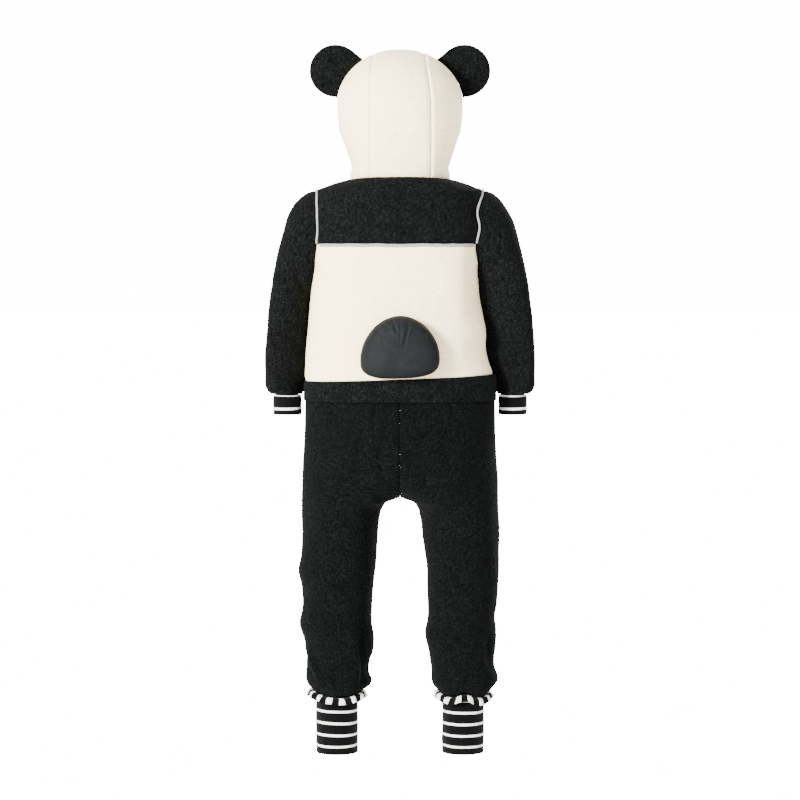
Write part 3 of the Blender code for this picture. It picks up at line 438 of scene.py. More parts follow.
@dataclass(frozen=True)
class StripedRib(Finish):
    """Fine cotton rib: upright wales, with white stripes knitted across them."""

    dark: str
    light: str
    pitch_mm: float
    stripe_mm: float
    first_mm: float
    wale_mm: float
    along: str = "v"
    sway_mm: float = 2.0
    sway_size_mm: float = 60.0
    plain_mm: float = 0.0               # width without stripes beside the first edge
    soft_mm: float = 0.35               # over which a stripe's edge fades
    course_mm: float = 1.4              # height of a knitted row

    def make(self) -> Material:
        """Material with stripes at a real pitch down the piece's own length."""
        made, tree, shader = self.begin()
        flat = add_node(tree, "ShaderNodeUVMap", uv_map="cloth").outputs["UV"]
        split = add_node(tree, "ShaderNodeSeparateXYZ", Vector=flat)
        around, down = split.outputs["X"], split.outputs["Y"]
        if self.along == "u":
            around, down = down, around
        place = add_node(tree, "ShaderNodeTexCoord").outputs["Object"]
        sway = add_node(
            tree, "ShaderNodeTexNoise", Vector=place, Scale=1.0 / (self.sway_size_mm * MM), Detail=0.0,
        ).outputs["Fac"]
        uneven = add_node(
            tree, "ShaderNodeMath", operation="MULTIPLY_ADD", in0=sway, in1=2 * self.sway_mm, in2=down
        ).outputs[0]
        shifted = add_node(
            tree, "ShaderNodeMath", operation="SUBTRACT", in0=uneven,
            in1=(self.first_mm - self.stripe_mm / 2 + self.sway_mm),
        ).outputs[0]
        turn = add_node(
            tree, "ShaderNodeMath", operation="FLOORED_MODULO", in0=shifted, in1=self.pitch_mm
        ).outputs[0]
        #        run, where it fades, what it fades from
        fades = [(turn, 0.0, 0.0), (turn, self.stripe_mm, 1.0)]
        if self.plain_mm:
            fades.append((around, self.plain_mm, 0.0))
        stripe = None
        for run, edge, before in fades:
            fade = add_node(
                tree, "ShaderNodeMapRange", interpolation_type="SMOOTHSTEP", Value=run,
                From_Min=edge, From_Max=edge + self.soft_mm, To_Min=before, To_Max=1.0 - before,
            ).outputs[0]
            if stripe is not None:
                fade = add_node(
                    tree, "ShaderNodeMath", operation="MULTIPLY", in0=stripe, in1=fade
                ).outputs[0]
            stripe = fade
        waves = []
        for run, size in ((around, self.wale_mm), (down, self.course_mm)):
            angle = add_node(
                tree, "ShaderNodeMath", operation="MULTIPLY", in0=run, in1=2 * math.pi / size
            ).outputs[0]
            waves.append(add_node(tree, "ShaderNodeMath", operation="SINE", in0=angle).outputs[0])
        ridge, knit = waves
        relief = add_node(
            tree, "ShaderNodeMath", operation="MULTIPLY_ADD", in0=knit, in1=0.3, in2=ridge
        ).outputs[0]
        shade = add_node(
            tree, "ShaderNodeMapRange", Value=ridge, From_Min=-1.0, To_Min=0.72
        ).outputs[0]
        colour = add_node(
            tree, "ShaderNodeMix", data_type="RGBA", in0=stripe, in6=linear(self.dark),
            in7=linear(self.light),
        ).outputs[2]
        toned = add_node(
            tree, "ShaderNodeMix", data_type="RGBA", blend_type="MULTIPLY", in0=1.0,
            in6=colour, in7=shade,
        ).outputs[2]
        bump = add_node(
            tree, "ShaderNodeBump", Strength=0.6, Distance=0.5 * MM, Height=relief
        ).outputs["Normal"]
        set_up(
            tree, shader, Base_Color=toned, Normal=bump, Roughness=0.9, Sheen_Weight=0.02,
            Sheen_Roughness=0.5, Specular_IOR_Level=0.02,
        )
        return made


@dataclass(frozen=True)
class Nylon(Finish):
    """Down-proof nylon taffeta: very fine plain weave, with painted shade darkening it where it turns in
    to its seam.
    """

    colour: str
    worn: str
    thread_mm: float
    rim: float = 0.15                   # how much colour the painted shade leaves at the seam
    rim_zone: tuple = (0.15, 0.55)      # where the painted shade at the rim ends, as a share of the height
    crease_mm: float = 22.0

    def make(self) -> Material:
        """Material with a faint weave and small creases as bump.

        The real threads are about 0.15 mm apart and wouldn't show, so they are drawn coarser.
        """
        made, tree, shader = self.begin()
        place = add_node(tree, "ShaderNodeTexCoord").outputs["Object"]
        soft = add_node(
            tree, "ShaderNodeTexNoise", Vector=place, Scale=1.0 / (self.crease_mm * MM), Detail=4.0,
            Roughness=0.6, Distortion=1.2,
        ).outputs["Fac"]
        colour = ramp(tree, soft, ((0.3, self.colour), (0.75, self.worn)))
        proud = add_node(tree, "ShaderNodeAttribute", attribute_name="proud").outputs["Fac"]
        # painted shade: the colour darkens towards the rim, where the piece stands out least
        rim = add_node(
            tree, "ShaderNodeMapRange", Value=proud, From_Min=self.rim_zone[0],
            From_Max=self.rim_zone[1], To_Min=self.rim,
        ).outputs[0]
        shaded = add_node(
            tree, "ShaderNodeMix", data_type="RGBA", blend_type="MULTIPLY", in0=1.0,
            in6=colour, in7=rim,
        ).outputs[2]
        weave = [
            add_node(
                tree, "ShaderNodeTexWave", wave_type="BANDS", bands_direction=axis, Vector=place,
                Scale=1.0 / (self.thread_mm * MM * 20), Distortion=0.4,
            ).outputs["Fac"]
            for axis in ("X", "Z")
        ]
        cloth = add_node(tree, "ShaderNodeMath", operation="ADD", in0=weave[0], in1=weave[1]).outputs[0]
        thread = add_node(
            tree, "ShaderNodeBump", Strength=0.12, Distance=0.15 * MM, Height=cloth
        ).outputs["Normal"]
        bump = add_node(
            tree, "ShaderNodeBump", Strength=0.5, Distance=1.6 * MM, Height=soft, Normal=thread
        ).outputs["Normal"]
        set_up(
            tree, shader, Base_Color=shaded, Normal=bump, Roughness=0.7, Specular_IOR_Level=0.04,
        )
        return made


@dataclass(frozen=True)
class StitchedEdge(Finish):
    """Overlocked edge tape: closely wound thread, so it shows slanted cords of light."""

    thread: str
    shadow: str
    stitch_mm: float

    def make(self) -> Material:
        """Material with one slanted cord for each stitch along the tape."""
        made, tree, shader = self.begin()
        flat = add_node(tree, "ShaderNodeUVMap", uv_map="cloth").outputs["UV"]
        split = add_node(tree, "ShaderNodeSeparateXYZ", Vector=flat)
        slant = add_node(
            tree, "ShaderNodeMath", operation="MULTIPLY_ADD", in0=split.outputs["X"], in1=0.5,
            in2=split.outputs["Y"],
        ).outputs[0]
        turns = add_node(
            tree, "ShaderNodeMath", operation="MULTIPLY", in0=slant,
            in1=2 * math.pi / self.stitch_mm,
        ).outputs[0]
        cord = add_node(tree, "ShaderNodeMath", operation="SINE", in0=turns).outputs[0]
        tone = add_node(tree, "ShaderNodeMapRange", Value=cord, From_Min=-1.0).outputs[0]
        colour = ramp(tree, tone, ((0.05, self.shadow), (0.6, self.thread)))
        bump = add_node(
            tree, "ShaderNodeBump", Strength=0.7, Distance=0.4 * MM, Height=cord
        ).outputs["Normal"]
        set_up(tree, shader, Base_Color=colour, Normal=bump, Roughness=0.8, Sheen_Weight=0.1)
        return made


@dataclass(frozen=True)
class WovenTape(Finish):
    """Polyester zip tape: a flat herringbone weave, with little shine."""

    colour: str
    lit: str
    thread_mm: float

    def make(self) -> Material:
        """Material with a fine diagonal weave."""
        made, tree, shader = self.begin()
        place = add_node(tree, "ShaderNodeTexCoord").outputs["Object"]
        weave = add_node(
            tree, "ShaderNodeTexWave", bands_direction="DIAGONAL", Vector=place,
            Scale=1.0 / (self.thread_mm * MM * 20), Distortion=0.3,
        ).outputs["Fac"]
        colour = ramp(tree, weave, ((0.2, self.colour), (0.9, self.lit)))
        bump = add_node(
            tree, "ShaderNodeBump", Strength=0.4, Distance=0.2 * MM, Height=weave
        ).outputs["Normal"]
        set_up(tree, shader, Base_Color=colour, Normal=bump, Roughness=0.82)
        return made


@dataclass(frozen=True)
class CastZinc(Finish):
    """Nickel-plated zinc: a grey metal, rounded in its mould and a little brushed by wear."""

    colour: str
    lit: str
    roughness: float
    mark_mm: float = 1.2

    def make(self) -> Material:
        """Metal with fine scratches in its roughness."""
        made, tree, shader = self.begin()
        place = add_node(tree, "ShaderNodeTexCoord").outputs["Object"]
        marks = add_node(
            tree, "ShaderNodeTexNoise", Vector=place, Scale=1.0 / (self.mark_mm * MM), Detail=3.0
        ).outputs["Fac"]
        rough = add_node(
            tree, "ShaderNodeMapRange", Value=marks, From_Min=0.3, From_Max=0.7,
            To_Min=self.roughness - 0.08, To_Max=self.roughness + 0.12,
        ).outputs[0]
        colour = ramp(tree, marks, ((0.2, self.colour), (0.8, self.lit)))
        set_up(tree, shader, Base_Color=colour, Roughness=rough, Metallic=1.0)
        return made


@dataclass(frozen=True)
class MouldedNylon(Finish):
    """Moulded zip chain: small rounded teeth with a plastic shine."""

    colour: str
    lit: str
    grain_mm: float = 0.8

    def make(self) -> Material:
        """Plain glossy plastic with slight grain."""
        made, tree, shader = self.begin()
        place = add_node(tree, "ShaderNodeTexCoord").outputs["Object"]
        grain = add_node(
            tree, "ShaderNodeTexNoise", Vector=place, Scale=1.0 / (self.grain_mm * MM), Detail=2.0
        ).outputs["Fac"]
        colour = ramp(tree, grain, ((0.3, self.colour), (0.8, self.lit)))
        set_up(tree, shader, Base_Color=colour, Roughness=0.42)
        return made


SHERPA = PileCloth(
    "black_sherpa_pile", ground="#010101", tuft="#060707", tip="#1d1f1e", curl_mm=2.0, lift_mm=1.2,
    sheen=0.02, sheen_tint="#8d938f", specular=0.02,
)
# a darker copy of the sherpa for the trousers: painted shade over the legs
SHADED_TROUSER_SHERPA = replace(SHERPA, name="black_sherpa_trouser_pile", tuft="#040505", tip="#151716")
FLEECE = PileCloth(
    "cream_boucle_fleece", ground="#d6bb83", tuft="#f1deb3", tip="#fff1d0", curl_mm=2.0, lift_mm=0.9,
    sheen=0.12, sheen_tint="#fff0d6", specular=0.12,
)
CUFF_RIB = StripedRib(
    "striped_cotton_rib", dark="#060606", light="#ebe7de", pitch_mm=18.6, stripe_mm=3.4,
    first_mm=-0.9, wale_mm=1.7,
)
LEG_RIB = replace(
    CUFF_RIB, name="striped_leg_rib", pitch_mm=15.5, stripe_mm=3.1, first_mm=24.7, wale_mm=1.8
)
FRILL_RIB = replace(
    CUFF_RIB, name="striped_frill_rib", wale_mm=1.6, along="u", sway_mm=3.4, sway_size_mm=17.0,
    plain_mm=4.5,
)
TAIL_NYLON = Nylon("slate_nylon_taffeta", "#0d0f0f", "#131515", 0.5)
EDGE = StitchedEdge("grey_overlock_edge", "#908f86", "#4c4b47", 1.7)
TAPE = WovenTape("black_zip_tape", "#101112", "#2a2b2b", 0.5)
CHAIN = MouldedNylon("black_zip_chain", "#1b1c1d", "#3a3b3c")
METAL = CastZinc("nickel_plated_zinc", "#8d8f91", "#b9babb", 0.34)


# ---------------------------------------------------------------- meshes
@dataclass
class Cloth:
    """Makes closed cloth walls whose outer face is fine and whose plain inside is coarser."""

    thick: float
    finish: Material
    slot: str
    curl: float = 0.0
    curl_rise: float = 0.0
    soft: float = 0.7                   # height of the cloth's slow waves
    soft_size: float = 34.0
    free_at: float = 12.0               # distance from a seam where they are whole
    seam_dip: float = 1.0
    dip_width: float = 3.2
    lip: tuple = (6.5, 3.0, 0.35)       # distance, width and height of a seam's lip
    coarse: int = 3

    def relief(self, grid: Array, gap: Array) -> tuple[Array, Array]:
        """Height of the outer face over the plain form, and how tufted it is.

        Args:
            grid: plain outer points.
            gap: distance of each to the nearest sewn edge.

        Returns:
            Heights in millimetres and tuft heights from 0 to 1.
        """
        free = np.clip(gap / self.free_at, 0.0, 1.0)
        rise = self.soft * drift(grid, self.soft_size, 5) * free
        rise += 0.4 * self.soft * drift(grid, self.soft_size / 2.6, 6) * free
        rise -= self.seam_dip * bell(gap, 0.0, self.dip_width)
        lip_at, lip_width, lip_share = self.lip
        rise += lip_share * self.seam_dip * bell(gap, lip_at, lip_width)
        if not self.curl:
            return rise, np.full(rise.shape, 0.5)
        tuft = curls(grid, self.curl, CURL_SEED)
        return rise + self.curl_rise * (tuft - CURL_MEAN), tuft

    def build(
        self,
        name: str,
        grid: Array,
        out: Array,
        edges: str,
        folds: Array | float = 0.0,
        wrap: bool = False,
    ) -> Object:
        """A closed wall on a grid of outer points.

        Args:
            name: the piece's name.
            grid: plain outer points, with one more than a multiple of coarse rows and
                columns (a multiple of columns if it wraps).
            out: outward directions, one for each point.
            edges: the sewn edges, as edge_gap takes them.
            folds: heights to add to the outer face, in millimetres.
            wrap: whether the last column meets the first.

        Returns:
            The new object, shaded smooth, with its UV map in millimetres.
        """
        gap = edge_gap(grid, edges, wrap)
        rise, tuft = self.relief(grid, gap)
        rise = rise + folds
        outer = grid + unit(out) * rise[..., None]
        step = self.coarse
        base = grid[::step, ::step] + unit(out[::step, ::step]) * np.minimum(
            np.asarray(folds + np.zeros(gap.shape))[::step, ::step], 0.0
        )[..., None]
        inner = base - out[::step, ::step] * self.thick
        return wall_object(name, outer, inner, tuft, self.finish, step, wrap)

    def sew(
        self,
        name: str,
        grid: Array,
        out: Array,
        edges: str,
        folds: Array | float = 0.0,
        wrap: bool = False,
    ) -> None:
        piece = self.build(name, grid, out, edges, folds, wrap)
        dress(piece)


def wall_object(
    name: str,
    outer: Array,
    inner: Array,
    tuft: Array,
    finish: Material,
    step: int,
    wrap: bool,
    inner_tuft: Array | None = None,
) -> Object:
    """A closed wall between a fine outer grid and an inner grid with every step-th point.

    Args:
        name: the piece's name.
        outer: outer points, (rows, columns, 3).
        inner: inner points, one for every step-th outer point each way.
        tuft: pile height of the outer points, kept as the attribute "proud".
        finish: the piece's material.
        step: outer points for each inner one.
        wrap: whether the last column meets the first.
        inner_tuft: pile height of the inner points, where that face shows too.

    Returns:
        The new object.
    """
    fine, few = outer.shape[:2], inner.shape[:2]
    total = fine[0] * fine[1]
    faces = grid_quads(*fine, 0, wrap) + grid_quads(*few, total, wrap, turned=True)
    places = np.arange(total).reshape(fine), total + np.arange(few[0] * few[1]).reshape(few)
    if wrap:
        places = [np.hstack([numbers, numbers[:, :1]]) for numbers in places]
    rims = [([numbers[0] for numbers in places], False), ([numbers[-1] for numbers in places], True)]
    if not wrap:
        rims.append(([numbers[:, 0] for numbers in places], True))
        rims.append(([numbers[:, -1] for numbers in places], False))
    for (long, short), flip in rims:
        for k in range(len(short) - 1):
            face = long[k * step:(k + 1) * step + 1].tolist() + [int(short[k + 1]), int(short[k])]
            faces.append(tuple(face[::-1] if flip else face))
    points = np.concatenate([outer.reshape(-1, 3), inner.reshape(-1, 3)])
    across = run_lengths(outer, 1).mean(axis=0)
    down = run_lengths(outer, 0).mean(axis=1)
    flat = np.stack(np.meshgrid(across, down), axis=-1)
    few_flat = flat[::step, ::step]
    maps = np.concatenate([flat.reshape(-1, 2), few_flat.reshape(-1, 2)])
    if inner_tuft is None:
        inner_tuft = np.full(few, 0.45)
    proud = np.concatenate([tuft.ravel(), inner_tuft.ravel()])
    return mesh_object(name, points, faces, finish, maps, proud)


def grid_quads(
    rows: int, cols: int, start: int, wrap: bool, turned: bool = False
) -> list[tuple[int, ...]]:
    """Quads of a grid numbered row by row from start, the other way round if turned."""
    row = np.arange(rows - 1)[:, None] * cols + start
    col = np.arange(cols if wrap else cols - 1)[None, :]
    nxt = (col + 1) % cols
    quads = np.stack([row + col, row + cols + col, row + cols + nxt, row + nxt], axis=-1)
    quads = quads.reshape(-1, 4)
    return [tuple(q) for q in (quads[:, ::-1] if turned else quads).tolist()]


def mesh_object(
    name: str,
    points: Array,
    faces: list[tuple[int, ...]],
    finish: Material,
    maps: Array | None = None,
    proud: Array | None = None,
) -> Object:
    """An object from points in millimetres, its faces turned outwards and shaded smooth.

    Args:
        name: the object's name.
        points: all its points.
        faces: corner numbers of each face.
        finish: the material.
        maps: place of each point on the flat cloth, in millimetres, for the UV map "cloth".
        proud: how far each point stands up, from 0 to 1, for the attribute "proud".

    Returns:
        The linked object.
    """
    mesh = bpy.data.meshes.new(name)
    mesh.from_pydata((points * MM).tolist(), [], faces)
    if signed_volume(mesh) < 0:
        mesh.flip_normals()
    if maps is not None:
        corner = np.empty(len(mesh.loops), dtype=np.int32)
        mesh.loops.foreach_get("vertex_index", corner)
        layer = mesh.uv_layers.new(name="cloth")
        layer.data.foreach_set("uv", closed_maps(mesh, maps[corner]).astype(np.float32).ravel())
    if proud is not None:
        mesh.attributes.new("proud", "FLOAT", "POINT").data.foreach_set(
            "value", proud.astype(np.float32)
        )
    mesh.shade_smooth()
    mesh.materials.append(finish)
    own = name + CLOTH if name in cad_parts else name
    thing = bpy.data.objects.new(own, mesh)
    bpy.context.collection.objects.link(thing)
    return thing


def closed_maps(mesh: Mesh, flat: Array) -> Array:
    """Carries the UV map on past the column where a wrapped grid closes.

    Args:
        mesh: the mesh that the map belongs to.
        flat: one place for each face corner.

    Returns:
        The places, with a face that spans the whole width given its far side's number.
    """
    first = np.empty(len(mesh.polygons), dtype=np.int32)
    count = np.empty(len(mesh.polygons), dtype=np.int32)
    mesh.polygons.foreach_get("loop_start", first)
    mesh.polygons.foreach_get("loop_total", count)
    width = flat[:, 0].max()
    face_top = np.repeat(np.maximum.reduceat(flat[:, 0], first), count)
    columns = np.unique(flat[:, 0])
    length = width + (columns[-1] - columns[-2] if len(columns) > 1 else 0.0)
    behind = face_top - flat[:, 0] > width / 2
    return flat + np.where(behind, length, 0.0)[:, None] * np.array([1.0, 0.0])


def signed_volume(mesh: Mesh) -> float:
    """Six times the volume that a mesh's triangles hold, below zero if it is inside out."""
    mesh.calc_loop_triangles()
    corner = np.empty(len(mesh.loop_triangles) * 3, dtype=np.int32)
    mesh.loop_triangles.foreach_get("vertices", corner)
    place = np.empty(len(mesh.vertices) * 3, dtype=np.float32)
    mesh.vertices.foreach_get("co", place)
    a, b, c = place.reshape(-1, 3)[corner.reshape(-1, 3)].transpose(1, 0, 2)
    return float((a * np.cross(b, c)).sum())


def dress(
    piece: Object,
) -> None:
    """Args:
        piece: the finished object.
    """
    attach(piece, "root")
    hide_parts(piece.name.removesuffix(CLOTH))
    log.info("%s: %d faces", piece.name, len(piece.data.polygons))


# ---------------------------------------------------------------- hood
@dataclass
class Hood:
    """Three-panel hood: a centre strip from forehead to nape and two side panels."""

    pole_z: float = 102.0
    half_width: float = 84.5
    strip_half: float = 41.0
    strip_left: tuple = (35.0, 75.0)    # half width at the crown, angle where it is whole
    strip_right: tuple = (28.0, 92.0)
    ridge_left: tuple = (0.5, 4.2, 2.6)     # height, distance from the seam and width
    ridge_right: tuple = (0.7, 4.6, 2.8)
    groove: tuple = (1.6, 1.7)              # depth and width, along the right seam
    forehead: float = -60.0
    crown_split: float = 58.0
    neck_back: tuple = (59.85, 2.75)
    neck_front: tuple = (63.0, -27.2)
    chin_x: float = 9.0
    face_bulge: tuple = (-92.0, 62.0)
    neck_gap: float = 0.02
    wall_slope: float = 38.0
    tuck_fade: float = 14.0
    #            angle   reach  fullness, from straight up towards the back
    form: tuple = (
        (-75.0, 80.0, 2.1),
        (-40.0, 75.0, 2.0),
        (0.0, 71.7, 2.0),
        (40.0, 82.0, 2.05),
        (75.0, 95.0, 2.15),
        (105.0, 99.0, 2.3),
        (130.0, 104.0, 2.5),
        (148.9, 115.9, 2.6),
        (165.0, 134.0, 2.5),
        (180.0, 152.0, 2.3),
        (195.0, 150.0, 2.3),
        (206.0, 143.7, 2.2),
        (225.0, 136.0, 2.2),
        (285.0, 96.0, 2.1),
    )

    def angle_of(self, y: Array, z: Array) -> Array:
        """Angle of a place round the side-to-side axis, within the form's table."""
        angle = np.degrees(np.arctan2(y, z - self.pole_z))
        return np.where(angle < self.form[0][0], angle + 360.0, angle)

    def side_x(self, y: Array, z: Array) -> Array:
        """How far out the surface lies at a place in side view."""
        angle = self.angle_of(y, z)
        full = curve(self.form, 2, angle)
        share = np.hypot(y, z - self.pole_z) / curve(self.form, 1, angle)
        return self.half_width * np.maximum(1 - share**full, 0.0) ** (1 / full)

    def point(self, angle: Array, x: Array) -> Array:
        """Point at an angle and a place to the side: (x/A)^n + (r/R)^n = 1."""
        angle, x = np.broadcast_arrays(np.asarray(angle, float), np.asarray(x, float))
        full = curve(self.form, 2, angle)
        share = (1 - (np.abs(x) / self.half_width) ** full) ** (1 / full)
        reach = curve(self.form, 1, angle) * share
        turn = np.radians(angle)
        return stack(x, reach * np.sin(turn), self.pole_z + reach * np.cos(turn))

    def normal(self, points: Array) -> Array:
        """Outward normals, from how fast the form's equation grows along each axis."""

        def level(place: Array) -> Array:
            angle = self.angle_of(place[..., 1], place[..., 2])
            full = curve(self.form, 2, angle)
            reach = np.hypot(place[..., 1], place[..., 2] - self.pole_z)
            reach = reach / curve(self.form, 1, angle)
            return (np.abs(place[..., 0]) / self.half_width) ** full + reach**full

        axes = np.eye(3) * 0.4
        return unit(np.stack([level(points + a) - level(points - a) for a in axes], axis=-1))

    def neck(self, turn: Array) -> Array:
        """Neck seam by the turn from centre back (0) over the side to the front (180)."""
        turn = np.radians(np.asarray(turn, dtype=float))
        back = np.cos(turn) > 0
        y = np.where(back, self.neck_back[0], self.neck_front[0]) * np.cos(turn)
        z = np.where(back, self.neck_back[1], self.neck_front[1])
        z = z * np.abs(np.cos(turn)) ** 1.6
        return stack(self.side_x(y, z), y, z)

    def neck_turn_at(self, x: Array, half: Half = Half.BACK) -> Array:
        """Turn where the neck seam's back or front half reaches a place to the side."""
        away = np.linspace(0.0, 90.0, 361)
        turns = away if half is Half.BACK else 180.0 - away
        return np.interp(x, self.neck(turns)[:, 0], turns)

    def neck_edge(self, points: Array) -> Array:
        """Outward direction of the wall edges at the neck seam."""
        slope = math.radians(self.wall_slope)
        flat = unit(points * np.array([1.0, 1.0, 0.0]))
        return flat * math.cos(slope) + np.array([0.0, 0.0, math.sin(slope)])

    def strip_width(self, angle: Array, side: Side) -> Array:
        """Half width of the centre strip on a side, narrower over the crown."""
        crown, full = self.strip_left if side is Side.LEFT else self.strip_right
        share = np.clip(np.asarray(angle, dtype=float) / full, 0.0, 1.0)
        return crown + (self.strip_half - crown) * share

    def centre_grid(self, rows: int = 142, cols: int = 43) -> Array:
        """Centre strip's points, rows from the forehead to the nape."""
        share = np.linspace(-1.0, 1.0, cols)
        foot = self.neck(self.neck_turn_at(np.abs(share) * self.strip_half))
        last = np.degrees(np.arctan2(foot[:, 1], foot[:, 2] - self.pole_z))
        down = np.linspace(0.0, 1.0, rows)[:, None]
        angle = self.forehead + (last[None, :] - self.forehead) * down
        left, right = self.strip_width(angle, Side.LEFT), self.strip_width(angle, Side.RIGHT)
        grid = self.point(angle, share * np.where(share > 0, left, right))
        grid[-1, :, 2] += self.neck_gap / 2
        return grid

    def side_grid(self, side: Side, rows: int = 94, cols: int = 94) -> Array:
        """Side panel's points: a patch between its four edges in side view, lifted out."""
        across = np.linspace(0.0, 1.0, cols)
        down = np.linspace(0.0, 1.0, rows)
        foot_turn = float(self.neck_turn_at(self.strip_half + SEAM))
        corner = self.neck(foot_turn)
        nape = float(np.degrees(np.arctan2(corner[1], corner[2] - self.pole_z)))
        chin = float(self.neck_turn_at(self.chin_x, Half.FRONT))

        def seam(angle: Array) -> Array:
            return self.point(angle, self.strip_width(angle, side) + SEAM)[..., 1:]

        top = seam(self.forehead + (self.crown_split - self.forehead) * across)
        back = seam(self.crown_split + (nape - self.crown_split) * down)
        foot = self.neck(chin + (foot_turn - chin) * across)[..., 1:]
        t = down[:, None]
        bulge = np.array(self.face_bulge)
        face = top[0] * (1 - t) ** 2 + bulge * 2 * t * (1 - t) + foot[0] * t * t
        u = across[None, :, None]
        v = down[:, None, None]
        patch = (1 - v) * top[None] + v * foot[None]
        patch = patch + (1 - u) * face[:, None] + u * back[:, None]
        patch = patch - (1 - u) * (1 - v) * top[0] - u * (1 - v) * top[-1]
        patch = patch - (1 - u) * v * foot[0] - u * v * foot[-1]
        grid = stack(self.side_x(patch[..., 0], patch[..., 1]), patch[..., 0], patch[..., 1])
        grid[-1, :, 2] += self.neck_gap / 2
        return grid

    def facing(self, grid: Array) -> Array:
        """Outward directions of a panel, its neck row's turned to the shared seam."""
        out = self.normal(grid)
        out[-1] = self.neck_edge(grid[-1])
        return out

    def build(self, cloth: Cloth, creases: Creases) -> None:
        """Makes and dresses the three panels."""
        grid = self.centre_grid()
        cloth.sew("hood_centre", grid, self.facing(grid), "lrb")
        for side in Side:
            grid = self.side_grid(side)
            name = "hood_side_" + side.label
            turned, out = mirrored(side, grid), mirrored(side, self.facing(grid))
            above_neck = np.clip(edge_gap(grid, "b") / self.tuck_fade, 0.0, 1.0)
            tucks = fold_heights(creases, name, turned) * above_neck
            folds = self.side_ridge(side, grid) + tucks
            cloth.sew(name, turned, out, "trb", folds)

    def side_ridge(self, side: Side, grid: Array) -> Array:
        """Seam allowance pressed to the side panel: a low ridge beside the strip's seam."""
        gap = edge_gap(grid, "tr")
        high, away, width = self.ridge_left if side is Side.LEFT else self.ridge_right
        ridge = high * bell(gap, away, width)
        if side is Side.LEFT:
            return ridge
        deep, narrow = self.groove
        return ridge - deep * bell(gap, 0.0, narrow)


# ---------------------------------------------------------------- creases
@dataclass(frozen=True)
class Crease:
    """Soft trough or ridge along a bent line, seen from behind or in front.

    Its height falls away from the line as exp(-(distance / width) squared) and fades to
    nothing at both ends of the line.
    """

    path: tuple[tuple[float, float], ...]
    width: float
    rise: float
    lip: float = 0.35

    def height(self, place: Array) -> Array:
        """Heights that the crease adds.

        Args:
            place: places in the plane that the path is drawn in, in millimetres.

        Returns:
            Heights in millimetres, below zero for a trough, with a lower lip on its sides.
        """
        knots = np.array(self.path)
        runs = run_lengths(knots[None], 1)[0]
        best = np.full(place.shape[:-1], 1e9)
        along = np.zeros(place.shape[:-1])
        for a, b, run, length in zip(knots, knots[1:], runs, np.diff(runs)):
            share = np.clip(((place - a) * (b - a)).sum(axis=-1) / length**2, 0.0, 1.0)
            gap = np.linalg.norm(place - a - share[..., None] * (b - a), axis=-1)
            nearer = gap < best
            best = np.where(nearer, gap, best)
            along = np.where(nearer, (run + share * length) / runs[-1], along)
        fade = np.sin(np.clip(along, 0.02, 0.98) * math.pi) ** 0.7
        trough = bell(best, 0.0, self.width)
        lips = bell(best, 2.1 * self.width, 1.1 * self.width)
        return self.rise * fade * (trough - self.lip * lips)


def fold_heights(creases: Creases, name: str, grid: Array) -> Array:
    """Heights of all the creases of a piece on its grid, in its view along Y."""
    place = grid[..., [0, 2]]
    total = np.zeros(place.shape[:-1])
    for crease in creases.get(name, ()):
        total += crease.height(place)
    return total


